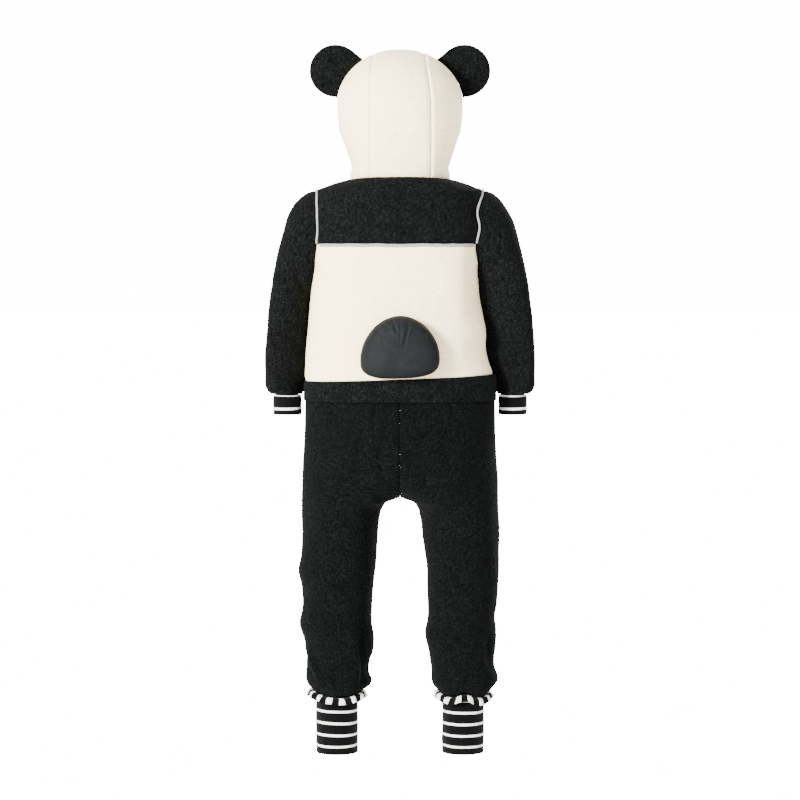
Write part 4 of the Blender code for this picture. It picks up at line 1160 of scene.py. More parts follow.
# ---------------------------------------------------------------- torso
@dataclass
class Torso:
    """Yokes, panels and the sleeves that are set into them."""

    hood: Hood
    tip_z: float = -15.0
    underarm_z: float = -117.0
    armhole_half: float = 44.0
    yoke_seam_z: float = -87.5
    waist_z: float = -267.2
    band_bottom_z: float = -298.0
    band_proud: float = 1.5
    waist_lean: float = 0.035
    lean_from_z: float = -125.0
    full: float = 2.4
    front_drop: float = 29.0
    back_drop: float = 3.0
    front_start_x: float = 6.3
    mitre_limit: float = 1.6
    half_cols: int = 73
    yoke_rows: tuple = (22, 43)
    panel_rows: tuple = (22, 88)
    sleeve_rows: int = 178
    #            side_x side_z back_y back_z front_y front_z, out to the shoulder tip
    shoulder: tuple = (
        (88.0, -6.0, 65.0, -4.0, 64.4, -32.5),
        (99.5, -10.5, 69.0, -10.5, 65.8, -38.0),
        (111.0, -15.0, 72.0, -18.0, 67.3, -44.0),
    )
    #            z      half_width
    sides: tuple = (
        (-15.0, 111.0),
        (-49.0, 110.0),
        (-76.0, 109.8),
        (-91.0, 111.8),
        (-101.0, 113.3),
        (-117.0, 115.7),
        (-136.0, 118.3),
        (-179.0, 122.6),
        (-222.5, 126.3),
        (-246.0, 127.7),
        (-266.0, 128.3),
        (-302.0, 128.6),
    )
    #            z      back   front
    depths: tuple = (
        (-18.0, 72.0, 63.0),
        (-44.0, 76.5, 67.5),
        (-87.5, 80.0, 72.5),
        (-130.0, 80.5, 75.5),
        (-180.0, 79.5, 78.0),
        (-230.0, 82.0, 79.5),
        (-268.7, 86.0, 79.5),
        (-302.0, 87.5, 79.0),
    )
    #            z      how far the back of the right armhole and side is drawn in
    drawn: tuple = (
        (-10.0, 0.0),
        (-20.0, 1.0),
        (-46.5, 8.0),
        (-65.0, 4.2),
        (-91.0, 10.6),
        (-113.0, 10.5),
        (-136.0, 12.5),
        (-158.0, 13.8),
        (-181.0, 12.0),
        (-203.0, 9.8),
        (-232.0, 12.5),
        (-252.0, 7.5),
        (-268.0, 0.0),
    )
    drawn_x: float = -116.0
    drawn_half: float = 29.0
    drawn_y: tuple = (-48.0, -6.0)
    #    out_x   out_z    in_x    in_z   half_depth mid_y lean, from armhole to hem; lean
    #    turns each ring's innermost point towards the front, beside the rounding panel
    sleeve: tuple = (
        (126.0, -19.0, 118.6, -121.5, 43.5, 0.0, 0.0),
        (139.0, -30.0, 119.6, -128.0, 43.0, -1.0, 3.0),
        (150.5, -48.0, 120.2, -137.5, 42.5, -2.5, 7.0),
        (158.0, -71.0, 120.8, -150.0, 42.0, -4.5, 12.0),
        (164.5, -97.0, 121.4, -166.0, 41.0, -6.5, 18.0),
        (170.0, -124.0, 122.0, -183.0, 40.0, -8.5, 24.0),
        (174.5, -151.0, 122.5, -201.0, 38.5, -10.5, 29.0),
        (178.0, -179.0, 123.2, -220.0, 37.0, -12.0, 33.0),
        (180.5, -207.0, 123.8, -239.0, 35.5, -13.0, 35.0),
        (182.0, -235.0, 124.8, -257.0, 34.0, -13.5, 35.0),
        (182.5, -262.0, 127.8, -273.0, 33.0, -13.5, 33.0),
        (182.0, -280.5, 130.8, -285.5, 32.0, -13.5, 26.0),
        (178.0, -288.0, 134.0, -290.5, 28.5, -13.5, 14.0),
        (168.5, -290.0, 137.0, -291.5, 18.5, -13.5, 0.0),
    )

    def __post_init__(self) -> None:
        """Works out the armhole's middle and the turns of the key rows round it."""
        self.arm_z = (self.tip_z + self.underarm_z) / 2
        self.arm_high = (self.tip_z - self.underarm_z) / 2
        yoke_turn = math.degrees(math.acos((self.yoke_seam_z - self.arm_z) / self.arm_high))
        self.yoke_turns = np.linspace(0.0, yoke_turn, 7)
        self.panel_turns = np.linspace(yoke_turn, 180.0, 5)
        self.tip_row = len(self.shoulder)
        self.seam_row = self.tip_row + len(self.yoke_turns) - 1
        self.arm_row = self.seam_row + len(self.panel_turns) - 1

    def section(
        self, side_x: Array, side_y: Array, depth: Array, side_z: Array, centre_z: Array,
        start_x: float, cols: int,
    ) -> Array:
        """Rows from centre back or front out to the side.

        Each row is the part of (x/w)^n + (y/d)^n = 1 that runs out to its place at the side,
        with its height bending from the centre's to the side's with x squared.
        """
        side_x, side_y, depth, side_z, centre_z = (
            np.asarray(value, dtype=float)[:, None]
            for value in (side_x, side_y, depth, side_z, centre_z)
        )
        side_y = np.maximum(side_y, SEAM / 2)
        width = side_x / (1 - (side_y / depth) ** self.full) ** (1 / self.full)
        last = np.arccos((side_y / depth) ** (self.full / 2))
        first = np.arcsin((start_x / width) ** (self.full / 2))
        turn = first + (last - first) * np.linspace(0.0, 1.0, cols)
        x = width * np.sin(turn) ** (2 / self.full)
        y = depth * np.cos(turn) ** (2 / self.full)
        return stack(x, y, centre_z + (side_z - centre_z) * (x / side_x) ** 2)

    def armhole(self, turn: Array) -> tuple[Array, Array]:
        """Half depth and height of the armhole seam, 0 at the shoulder and 180 underarm."""
        turn = np.radians(turn)
        return self.armhole_half * np.sin(turn), self.arm_z + self.arm_high * np.cos(turn)

    def leant(self, grid: Array) -> Array:
        """A grid lowered on the wearer's left and raised on the right at the waist seam.

        The slope fades away up the panels and down the hem band.
        """
        z = grid[..., 2]
        above = np.clip((self.lean_from_z - z) / (self.lean_from_z - self.waist_z), 0.0, 1.0)
        below = np.clip((z - self.band_bottom_z) / (self.waist_z - self.band_bottom_z), 0.0, 1.0)
        return grid - stack(0.0, 0.0, self.waist_lean * grid[..., 0] * above**1.5 * below)

    def pulled(self, grid: Array) -> Array:
        """A grid with the back of the right armhole drawn in, panel and sleeve together."""
        share = np.clip((grid[..., 1] - self.drawn_y[0]) / np.ptp(self.drawn_y), 0.0, 1.0)
        share = share * share * (3 - 2 * share) * bell(grid[..., 0], self.drawn_x, self.drawn_half)
        z = grid[..., 2].clip(self.drawn[-1][0], self.drawn[0][0])
        return grid + stack(curve(self.drawn, 1, z) * share, 0.0, 0.0)

    def key_rows(self, half: Half) -> Array:
        """Key rows of a quarter of the body: neck, shoulder, armhole, then the side."""
        back = half is Half.BACK
        start_x = 0.0 if back else self.front_start_x
        place = 2 if back else 4
        turns = self.yoke_turns[1:]
        side_y, side_z = self.armhole(turns)
        drop = (self.back_drop if back else self.front_drop) * (1 - turns / self.yoke_turns[-1])
        deep = 1 if back else 2
        upper = self.section(
            np.concatenate([column(self.shoulder, 0), curve(self.sides, 1, side_z)]),
            np.concatenate([np.zeros(self.tip_row), side_y]),
            np.concatenate([column(self.shoulder, place), curve(self.depths, deep, side_z - drop)]),
            np.concatenate([column(self.shoulder, 1), side_z]),
            np.concatenate([column(self.shoulder, place + 1), side_z - drop]),
            start_x,
            self.half_cols,
        )
        side_y, side_z = self.armhole(self.panel_turns[1:])
        below = np.linspace(self.underarm_z, self.waist_z, 7)[1:]
        side_y, side_z = np.concatenate([side_y, np.zeros(6)]), np.concatenate([side_z, below])
        lower = self.section(
            curve(self.sides, 1, side_z), side_y, curve(self.depths, deep, side_z), side_z,
            side_z, start_x, self.half_cols,
        )
        first = float(self.hood.neck_turn_at(start_x, half)) if start_x else 0.0
        neck = self.hood.neck(np.linspace(first, 89.9 if back else 90.1, self.half_cols))
        neck[:, 1] = np.abs(neck[:, 1])
        neck[:, 2] -= self.hood.neck_gap / 2
        return np.concatenate([neck[None], upper, lower])

    def quarter(self, half: Half) -> tuple[Array, Array, Array]:
        """A quarter of the body on the wearer's left, its back or its front turned back.

        Returns:
            The grid of outer points, the outward normals and each row's key row number.
        """
        keys = self.key_rows(half)
        at = np.concatenate([
            even_steps(keys, self.yoke_rows[0], 0, self.tip_row),
            even_steps(keys, self.yoke_rows[1], self.tip_row, self.seam_row)[1:],
            even_steps(keys, self.panel_rows[0], self.seam_row, self.arm_row)[1:],
            even_steps(keys, self.panel_rows[1], self.arm_row)[1:],
        ])
        grid = rows_at(keys, at)
        grid[..., 1] = np.maximum(grid[..., 1], SEAM / 2)
        out = normals(grid)
        out[0] = self.hood.neck_edge(grid[0])
        out[at > self.arm_row, -1, 1] = 0.0
        out[(at > 0) & (at < self.tip_row), -1, 1] = 0.0
        out[:, 0, 0] = 0.0
        return grid, unit(out), at

    def sleeve_grid(self) -> Array:
        """Outer points of the left sleeve: rings from the armhole to the gathered hem."""
        back, front = self.armhole_edge(Half.BACK)[0], self.armhole_edge(Half.FRONT)[0]
        loop = np.concatenate([back, front[-2:0:-1]]) + np.array([SEAM, 0.0, 0.0])
        high = (loop[:, 2] - self.arm_z) / self.arm_high
        turn = np.unwrap(np.arctan2(loop[:, 1] / self.armhole_half, high))
        out_x, out_z, in_x, in_z, deep, mid_y, lean = (
            column(self.sleeve, i)[:, None] for i in range(7)
        )
        share = (1 + np.cos(turn - np.radians(lean))) / 2
        rings = stack(
            in_x + (out_x - in_x) * share, mid_y + deep * np.sin(turn),
            in_z + (out_z - in_z) * share,
        )
        keys = np.concatenate([loop[None], rings])
        return rows_at(keys, even_steps(keys, self.sleeve_rows))

    def armhole_edge(self, half: Half) -> tuple[Array, Array]:
        """Armhole points and normals of a quarter, from the shoulder down to the underarm."""
        grid, out, at = self.quarter(half)
        rows = (at >= self.tip_row) & (at <= self.arm_row)
        flip = np.array([1.0, half.value, 1.0])
        return grid[rows, -1] * flip, out[rows, -1] * flip

    def shared_edges(self) -> Array:
        """Directions of the wall edges round the armhole, shared by sleeve and panels."""
        back, front = self.armhole_edge(Half.BACK)[1], self.armhole_edge(Half.FRONT)[1]
        panels = np.concatenate([back, front[-2:0:-1]])
        sleeve = normals(self.sleeve_grid(), wrap=True)[0]
        middle = unit(panels + sleeve)
        along = np.maximum((middle * panels).sum(axis=-1, keepdims=True), 1 / self.mitre_limit)
        return middle / along

    def build_body(self, sherpa: Cloth, fleece: Cloth, creases: Creases) -> None:
        """Makes and dresses the yokes and panels of the back and both fronts."""
        shared = self.shared_edges()
        for half in Half:
            grid, out, at = self.quarter(half)
            arm = (at >= self.tip_row) & (at <= self.arm_row)
            count = int(arm.sum())
            if half is Half.BACK:
                edges = shared[:count]
            else:
                edges = np.concatenate([shared[:1], shared[:count - 2:-1]])
            out[arm, -1] = edges * np.array([1.0, half.value, 1.0])
            split = int(np.argmax(at >= self.seam_row))
            for part, cloth, rows, edge, shift in (
                ("yoke", sherpa, slice(0, split + 1), -1, SEAM / 2),
                ("panel", fleece, slice(split, None), 0, -SEAM / 2),
            ):
                piece, facing = grid[rows].copy(), out[rows]
                piece[edge, :, 2] += shift
                self.build_part(half, part, cloth, piece, facing, creases)

    def build_part(
        self, half: Half, part: str, cloth: Cloth, grid: Array, out: Array, creases: Creases
    ) -> None:
        """Makes one yoke or panel: whole across the back, or a pair beside the zip."""
        if half is Half.BACK:
            name = "back_" + part
            grid, out = (np.hstack([mirrored(Side.RIGHT, g)[:, :0:-1], g]) for g in (grid, out))
            grid = self.pulled(self.leant(grid))
            cloth.sew(name, grid, out, "tblr", fold_heights(creases, name, grid))
            return
        for side in Side:
            name = f"front_{part}_{side.label}"
            turn = np.array([side.value, -1.0, 1.0])
            turned = self.pulled(self.leant(grid * turn))
            folds = fold_heights(creases, name, turned)
            cloth.sew(name, turned, out * turn, "tblr", folds)

    def build_sleeves(self, sherpa: Cloth, creases: Creases) -> None:
        """Makes and dresses both sleeves."""
        plain = self.sleeve_grid()
        facing = normals(plain, wrap=True)
        facing[0] = self.shared_edges()
        for side in Side:
            name = "sleeve_" + side.label
            grid, out = self.pulled(mirrored(side, plain)), mirrored(side, facing)
            folds = fold_heights(creases, name, grid)
            sherpa.sew(name, grid, out, "tb", folds, wrap=True)

    def build_band(self, sherpa: Cloth) -> None:
        """Hem band from one side of the zip round the back to the other."""
        zs = np.linspace(self.waist_z - SEAM, self.band_bottom_z, 22)
        quarters = [
            self.section(
                curve(self.sides, 1, zs) + self.band_proud, np.full(len(zs), -1.0),
                curve(self.depths, index, zs) + self.band_proud, zs, zs, start, 121,
            )
            for index, start in ((1, 0.0), (2, self.front_start_x))
        ]
        back, front = quarters[0], quarters[1] * np.array([1.0, -1.0, 1.0])
        left = np.hstack([front, back[:, -2::-1]])
        grid = self.leant(np.hstack([left, mirrored(Side.RIGHT, left)[:, -2::-1]]))
        sherpa.sew("hem_band", grid, normals(grid), "t")


# ---------------------------------------------------------------- ears
@dataclass
class Ears:
    """Padded round ears, two layers sewn round the rim, their feet curved to the hood."""

    hood: Hood
    centre: tuple = (87.0, -3.0, 146.6)
    radius: float = 35.0
    turns: tuple = (136.0, -94.0)
    fill: float = 15.0
    rim: float = 2.0
    rim_share: float = 0.06             # last part of a layer, rounded in to the rim
    foot_x: tuple = (49.0, 84.3)
    lift: float = 0.8
    around: int = 88
    outwards: int = 34

    def build(self, cloth: Cloth, creases: Creases) -> None:
        """Makes and dresses both ears.

        A straight line runs from each place of the foot to the rim; the layers part along it
        by a rounded profile that closes at the rim.
        """
        centre = np.array(self.centre)
        share = np.linspace(0.0, 1.0, self.around)
        foot_x = self.foot_x[0] + (self.foot_x[1] - self.foot_x[0]) * share**0.6
        turn = np.radians(self.turns[0] + (self.turns[1] - self.turns[0]) * share)
        rim = stack(np.cos(turn), 0.0, np.sin(turn)) * self.radius + centre
        foot = self.hood.point(0.0, foot_x)
        foot = foot + self.hood.normal(foot) * self.lift + np.array([0.0, centre[1], 0.0])
        out = np.sin(np.linspace(0.0, math.pi / 2, self.outwards)) ** 0.9
        sheet = foot[None] * (1 - out[:, None, None]) + rim[None] * out[:, None, None]
        along = np.sin(share * math.pi)[None, :] ** 0.6
        rise = np.sin((0.12 + 0.88 * out) * math.pi)[:, None] ** 0.55
        half = (self.rim + (self.fill - self.rim) * along * rise) / 2
        last = ((out - (1 - self.rim_share)) / self.rim_share).clip(0, 1)
        rounding = np.sqrt(np.clip(1 - last**2, 0.02, 1))[:, None]
        half = half * rounding
        for side in Side:
            name = "ear_" + side.label
            layers, tufts = [], []
            for way in (1.0, -1.0):
                layer = mirrored(side, sheet + stack(0.0, way * half, 0.0))
                facing = normals(layer)
                facing = np.where(facing[..., 1:2] * way < 0, -facing, facing)
                tuft = curls(layer, cloth.curl, CURL_SEED)
                dents = fold_heights(creases, name, layer) * rounding
                height = cloth.curl_rise * (tuft - CURL_MEAN) * rounding + dents
                layers.append(layer + facing * height[..., None])
                tufts.append(tuft)
            piece = wall_object(
                name, layers[0], layers[1], tufts[0], cloth.finish, 1, False, tufts[1]
            )
            dress(piece)


# ---------------------------------------------------------------- trousers
@dataclass(frozen=True)
class HemLine:
    """How far the leg's lower end is raised, most at its sides, fading out up the leg."""

    bow: float = 6.0
    top_z: float = -640.0
    cuff_top_z: float = -698.7
    #       leg, x of the middle, half width, rise: what is uneven about each hem
    uneven: tuple = (
        (Side.LEFT, 130.0, 26.0, 2.6),
        (Side.LEFT, 74.0, 14.0, -0.8),
        (Side.RIGHT, 88.0, 12.0, 4.8),
        (Side.RIGHT, 66.0, 11.0, -1.6),
        (Side.RIGHT, 112.0, 13.0, -4.2),
    )

    def rise(self, side: Side, x: Array, y: Array, reach: Array | float, z: Array | float) -> Array:
        """Rise of places on a leg.

        Args:
            side: which leg.
            x: how far out they are from the garment's middle.
            y: their depth.
            reach: the depth of the leg's back or front at their height.
            z: their height.

        Returns:
            Millimetres to add to their height.
        """
        share = np.clip((z - self.top_z) / (self.cuff_top_z - self.top_z), 0.0, 1.0) ** 2
        rise = self.bow * (1 - (y / reach) ** 2)
        for leg, middle, half, high in self.uneven:
            if leg is side:
                rise = rise + high * bell(x, middle, half)
        return rise * share


@dataclass
class Trousers:
    """Four sherpa panels from under the hem band to the gathered hems."""

    band_bottom_z: float = -298.0
    tuck: float = 1.8
    rows: int = 256
    cols: int = 94
    #   side_x side_z  inner_x inner_z inner_turn back  front fullness, one row a section
    leg: tuple = (
        (127.2, -273.0, 0.0, -273.0, 0.0, 85.2, 78.5, 2.4),
        (127.8, -298.0, 0.0, -298.0, 0.0, 86.9, 78.7, 2.4),
        (129.0, -340.0, 0.0, -342.0, 0.0, 87.5, 77.5, 2.4),
        (130.5, -374.0, 0.0, -378.0, 0.08, 86.5, 76.0, 2.4),
        (131.8, -396.0, 0.0, -403.0, 0.24, 84.5, 74.0, 2.35),
        (132.5, -413.0, 0.0, -418.5, 0.46, 82.0, 72.0, 2.3),
        (132.8, -426.0, 0.0, -427.0, 0.74, 79.0, 70.0, 2.25),
        (133.0, -437.0, 1.2, -430.0, 1.0, 76.0, 68.5, 2.2),
        (133.0, -448.0, 10.0, -432.3, 1.0, 73.5, 67.0, 2.2),
        (132.8, -458.0, 18.5, -436.0, 1.0, 71.5, 65.5, 2.2),
        (132.6, -467.0, 24.5, -444.5, 1.0, 69.5, 64.5, 2.2),
        (132.4, -478.0, 28.5, -461.0, 1.0, 67.5, 63.0, 2.2),
        (133.2, -498.0, 31.0, -490.0, 1.0, 64.5, 60.5, 2.2),
        (134.4, -524.0, 32.8, -521.0, 1.0, 60.5, 57.5, 2.2),
        (133.2, -550.0, 36.0, -549.0, 1.0, 57.5, 55.0, 2.2),
        (131.5, -577.0, 38.0, -577.0, 1.0, 55.0, 52.5, 2.2),
        (131.5, -601.0, 38.8, -601.0, 1.0, 52.5, 50.5, 2.2),
        (130.0, -623.0, 37.2, -623.0, 1.0, 50.5, 48.5, 2.2),
        (127.3, -645.0, 40.0, -645.0, 1.0, 48.5, 46.5, 2.2),
        (127.5, -667.0, 43.0, -667.0, 1.0, 47.0, 45.0, 2.2),
        (127.0, -685.0, 43.5, -685.0, 1.0, 45.5, 44.0, 2.2),
        (123.0, -694.7, 48.0, -695.2, 1.0, 41.0, 40.0, 2.1),
        (114.5, -697.7, 56.5, -698.0, 1.0, 32.5, 32.0, 2.0),
    )
    hem: HemLine = HemLine()
    #    leg, seam, middle's height, half height, how far a fold stands out in the outline
    outline_folds: tuple = (
        (Side.LEFT, "side", -530.0, 14.0, 3.5),
        (Side.LEFT, "side", -602.0, 15.0, 5.0),
        (Side.LEFT, "inside", -686.0, 12.0, 3.5),
        (Side.RIGHT, "side", -478.0, 26.0, 2.2),
        (Side.RIGHT, "side", -594.0, 13.0, -3.0),
        (Side.RIGHT, "side", -680.0, 14.0, 5.5),
        (Side.RIGHT, "inside", -522.0, 26.0, -3.5),
        (Side.RIGHT, "inside", -612.0, 16.0, 3.5),
    )

    def fold(self, side: Side, seam: str, z: Array) -> Array:
        """How far the folds of one leg push a seam outwards at some heights."""
        found = [row[2:] for row in self.outline_folds if row[:2] == (side, seam)]
        return sum(stands * bell(z, middle, half) for middle, half, stands in found)

    def sections(self, side: Side, half: Half, at: Array) -> tuple[Array, Array]:
        """Sections of a panel at fractional row numbers of the leg's table.

        A section runs from the side seam, where its turn is 0, over a superellipse quarter
        and on towards the inseam as far as its inner_turn says.

        Returns:
            The outer points, as on the wearer's left and turned to the back, and whether
            each section lies below the crotch.
        """
        table = rows_at(np.array(self.leg), at)
        side_x, side_z, inner_x, inner_z, turn, back, front, full = table.T[..., None]
        turn = turn.clip(0.0, 1.0)
        depth = back if half is Half.BACK else front
        side_x = side_x + self.fold(side, "side", side_z)
        whole = (at >= np.argmax(column(self.leg, 4) >= 1.0))[:, None]
        inner_x = inner_x - self.fold(side, "inside", inner_z) * whole
        tuck = np.where(side_z > self.band_bottom_z - SEAM, self.tuck, 0.0)
        side_x, depth = side_x - tuck, depth - tuck
        last = np.pi / 2 * (1 + turn)
        reach = (side_x - inner_x) / (1 - power(np.cos(last), 2 / full))
        around = last * np.linspace(0.0, 1.0, self.cols)
        share = (1 - np.cos(around * np.pi / last)) / 2
        x = side_x - reach + reach * power(np.cos(around), 2 / full)
        y = depth * power(np.sin(around), 2 / full)
        z = side_z + (inner_z - side_z) * share
        z = z + self.hem.rise(side, x, y, depth, z)
        return stack(x, y, z), whole[:, 0]

    def quarter(self, side: Side, half: Half) -> tuple[Array, Array]:
        """Outer points and normals of a panel, as on the wearer's left, turned to the back."""
        keys = self.sections(side, half, np.arange(len(self.leg), dtype=float))[0]
        grid, below = self.sections(side, half, even_steps(keys, self.rows))
        grid[..., :2] = np.maximum(grid[..., :2], SEAM / 2)
        out = normals(grid)
        out[:, 0, 1] = 0.0
        out[~below, -1, 0] = 0.0
        out[below, -1, 1] = 0.0
        return grid, unit(out)

    def build(self, cloth: Cloth, creases: Creases) -> None:
        """Makes and dresses the four panels."""
        for half in Half:
            for side in Side:
                plain, facing = self.quarter(side, half)
                turn = np.array([side.value, half.value, 1.0])
                name = f"trouser_{half.name.lower()}_{side.label}"
                grid = plain * turn
                folds = fold_heights(creases, name, grid)
                cloth.sew(name, grid, facing * turn, "lrb", folds)


# ---------------------------------------------------------------- cuffs and frills
@dataclass
class Cuff:
    """Rib cuff: a nearly straight tube that starts under the hem it is sewn to."""

    part: str
    sewn_to: str
    centre: tuple
    half_width: float
    half_depth: float
    top: float
    length: float
    finish: Material
    full: float = 2.1
    thick: float = 1.6
    hem: HemLine | None = None
    hem_fade: float = 8.0
    ease: float = 0.02
    rows: int = 31
    cols: int = 180
    wrinkle: float = 0.5

    def build(self) -> None:
        """Makes and dresses the pair of cuffs, each ring a superellipse."""
        down = np.linspace(0.0, 1.0, self.rows)[:, None]
        turn = np.linspace(0.0, 2 * math.pi, self.cols, endpoint=False)[None, :]
        ease = 1.0 + self.ease * np.sin(down * math.pi)
        grid = stack(
            self.centre[0] + self.half_width * ease * power(np.cos(turn), 2 / self.full),
            self.centre[1] + self.half_depth * ease * power(np.sin(turn), 2 / self.full),
            self.top - self.length * down,
        )
        cloth = Cloth(
            self.thick, self.finish, "rib_striped", soft=self.wrinkle, soft_size=19.0, seam_dip=0.3
        )
        for side in Side:
            bowed = grid.copy()
            if self.hem:
                x, y = grid[..., 0], grid[..., 1]
                rise = self.hem.rise(side, x, y, self.half_depth * ease, self.top)
                bowed[..., 2] += rise * np.exp(-down * self.length / self.hem_fade)
            turned = mirrored(side, bowed)
            out = normals(turned, wrap=True)
            name, sewn_to = f"{self.part}_{side.label}", f"{self.sewn_to}_{side.label}"
            cloth.sew(name, turned, out, "t", wrap=True)


@dataclass
class Frill:
    """Gathered rib frill that rolls over and hangs round the leg's hem, above the cuff."""

    centre_x: float = 85.8
    half_width: float = 28.1
    half_depth: float = 31.0
    top: float = -699.9
    full: float = 2.1
    waves: int = 15
    thick: float = 1.2
    per_wave: int = 20
    rows: int = 22
    white: float = 0.42
    crest: float = 0.25
    below_z: float = -777.0
    #     out from the cuff, drop, swing outwards, swing upwards, from sewn to free edge
    form: tuple = (
        (0.7, 0.0, 0.0, 0.0),
        (10.0, 1.6, 1.0, 0.2),
        (12.6, 8.6, 2.2, 1.0),
    )
    hem: HemLine = HemLine()

    def build(self, finish: StripedRib) -> None:
        """Makes and dresses both frills: a ring that rolls over, with a growing wave.

        The stripes run across it, one over the crest of each wave.
        """
        turn = np.linspace(0.0, 2 * math.pi, self.waves * self.per_wave, endpoint=False)[None, :]
        wave = np.sin(turn * self.waves)
        rows = rows_at(np.array(self.form), np.linspace(0.0, len(self.form) - 1.0, self.rows))
        clear, drop, swing, lift = rows.T[..., None]
        out = clear + swing * wave
        grid = stack(
            self.centre_x + (self.half_width + out) * power(np.cos(turn), 2 / self.full),
            (self.half_depth + out) * power(np.sin(turn), 2 / self.full),
            self.top - drop + lift * wave,
        )
        closed = np.hstack([grid, grid[:, :1]])
        pitch = float(run_lengths(closed, 1)[:, -1].mean()) / self.waves
        striped = replace(
            finish, pitch_mm=pitch, stripe_mm=self.white * pitch, first_mm=self.crest * pitch
        )
        cloth = Cloth(self.thick, striped.make(), "rib_striped", soft=0.3, soft_size=12.0, seam_dip=0.0)
        facing = normals(grid, wrap=True)
        if (facing * (grid - np.array([self.centre_x, 0.0, self.below_z]))).sum() < 0:
            facing = -facing
        for side in Side:
            bowed = grid.copy()
            bowed[..., 2] += self.hem.rise(
                side, grid[..., 0], grid[..., 1], self.half_depth + out, self.hem.cuff_top_z
            )
            cloth.sew(
                "leg_ruffle_" + side.label, mirrored(side, bowed), mirrored(side, facing), "t",
                wrap=True,
            )


# ---------------------------------------------------------------- tail
@dataclass
class Tail:
    """Filled nylon tail, sewn flat to the back panel, gathered at its top."""

    torso: Torso
    half_width: float = 52.8
    top_z: float = -182.0
    bottom_z: float = -265.0
    stands_out: float = 40.0
    lift: float = 0.7
    foot_share: float = 0.31
    dome: float = 1.9
    foot: float = 3.0
    cols: int = 320
    rows: int = 150
    uneven: float = 0.3
    #         share of outline, share of how far it stands out
    profile: tuple = (
        (0.14, 0.0), (0.34, 0.0), (0.52, 0.0), (0.7, 0.0), (0.88, 0.0), (0.98, 0.16),
        (1.0, 0.34), (0.975, 0.56), (0.9, 0.75), (0.76, 0.88), (0.5, 0.97), (0.18, 1.0),
        (0.004, 1.0),
    )
    #         turn    width  depth, gathers that run down from the top
    folds: tuple = (
        (62.0, 7.0, 1.2),
        (76.0, 6.0, 1.9),
        (90.0, 5.0, 1.4),
        (104.0, 6.5, 1.8),
        (121.0, 8.0, 1.1),
    )

    def outline(self, turn: Array) -> tuple[Array, Array]:
        """Half width and height of the outline: a dome over a flatter foot."""
        upper = np.sin(turn) > 0
        full = np.where(upper, self.dome, self.foot)
        middle = self.bottom_z + (self.top_z - self.bottom_z) * self.foot_share
        height = np.where(upper, self.top_z - middle, middle - self.bottom_z)
        x = self.half_width * power(np.cos(turn), 2 / full)
        return x, middle + height * power(np.sin(turn), 2 / full)

    def back_surface(self, x: Array, z: Array) -> Array:
        """Depth of the back panel's outer face at places seen from behind."""
        depth = curve(self.torso.depths, 1, z)
        width = curve(self.torso.sides, 1, z)
        full = self.torso.full
        return depth * (1 - np.abs(x / width) ** full) ** (1 / full)

    def build(self, finish: Material, creases: Creases) -> None:
        """Makes and dresses the tail: rings of the outline, shrunk and pushed out."""
        turn = np.linspace(0.0, 2 * math.pi, self.cols, endpoint=False)
        rim_x, rim_z = self.outline(turn)
        middle = (self.top_z + self.bottom_z) / 2
        table = np.array(self.profile)
        at = np.linspace(0.0, len(table) - 1.0, self.rows)
        share, rise = rows_at(table, at).T
        share, rise = share.clip(0.003, 1.0)[:, None], rise.clip(0.0, 1.0)[:, None]
        x = rim_x * share
        z = middle + (rim_z - middle) * share
        y = self.back_surface(x, z) + self.lift + self.stands_out * rise
        for place, width, deep in self.folds:
            near = bell(np.degrees(turn), place, width)
            y = y - deep * near * np.minimum(1.0, rise * 1.6) * share
        grid = self.torso.leant(stack(x, y, z))
        facing = normals(grid, wrap=True)
        front = np.clip((rise - 0.5) * 5, 0.0, 1.0)
        height = front * fold_heights(creases, "tail", grid)
        height += front * self.uneven * drift(grid, 14.0, 21) * (1 - bell(share, 0.0, 0.1))
        grid = grid + facing * height[..., None]
        faces = grid_quads(self.rows, self.cols, 0, True)
        faces.append(tuple(range(self.cols)))
        faces.append(tuple(range((self.rows - 1) * self.cols, self.rows * self.cols)))
        # how far each point stands out, which the tail's finish turns into painted shade near the rim
        proud = np.broadcast_to(rise, grid.shape[:2]).ravel()
        piece = mesh_object("tail", grid.reshape(-1, 3), faces, finish, proud=proud)
        dress(piece)


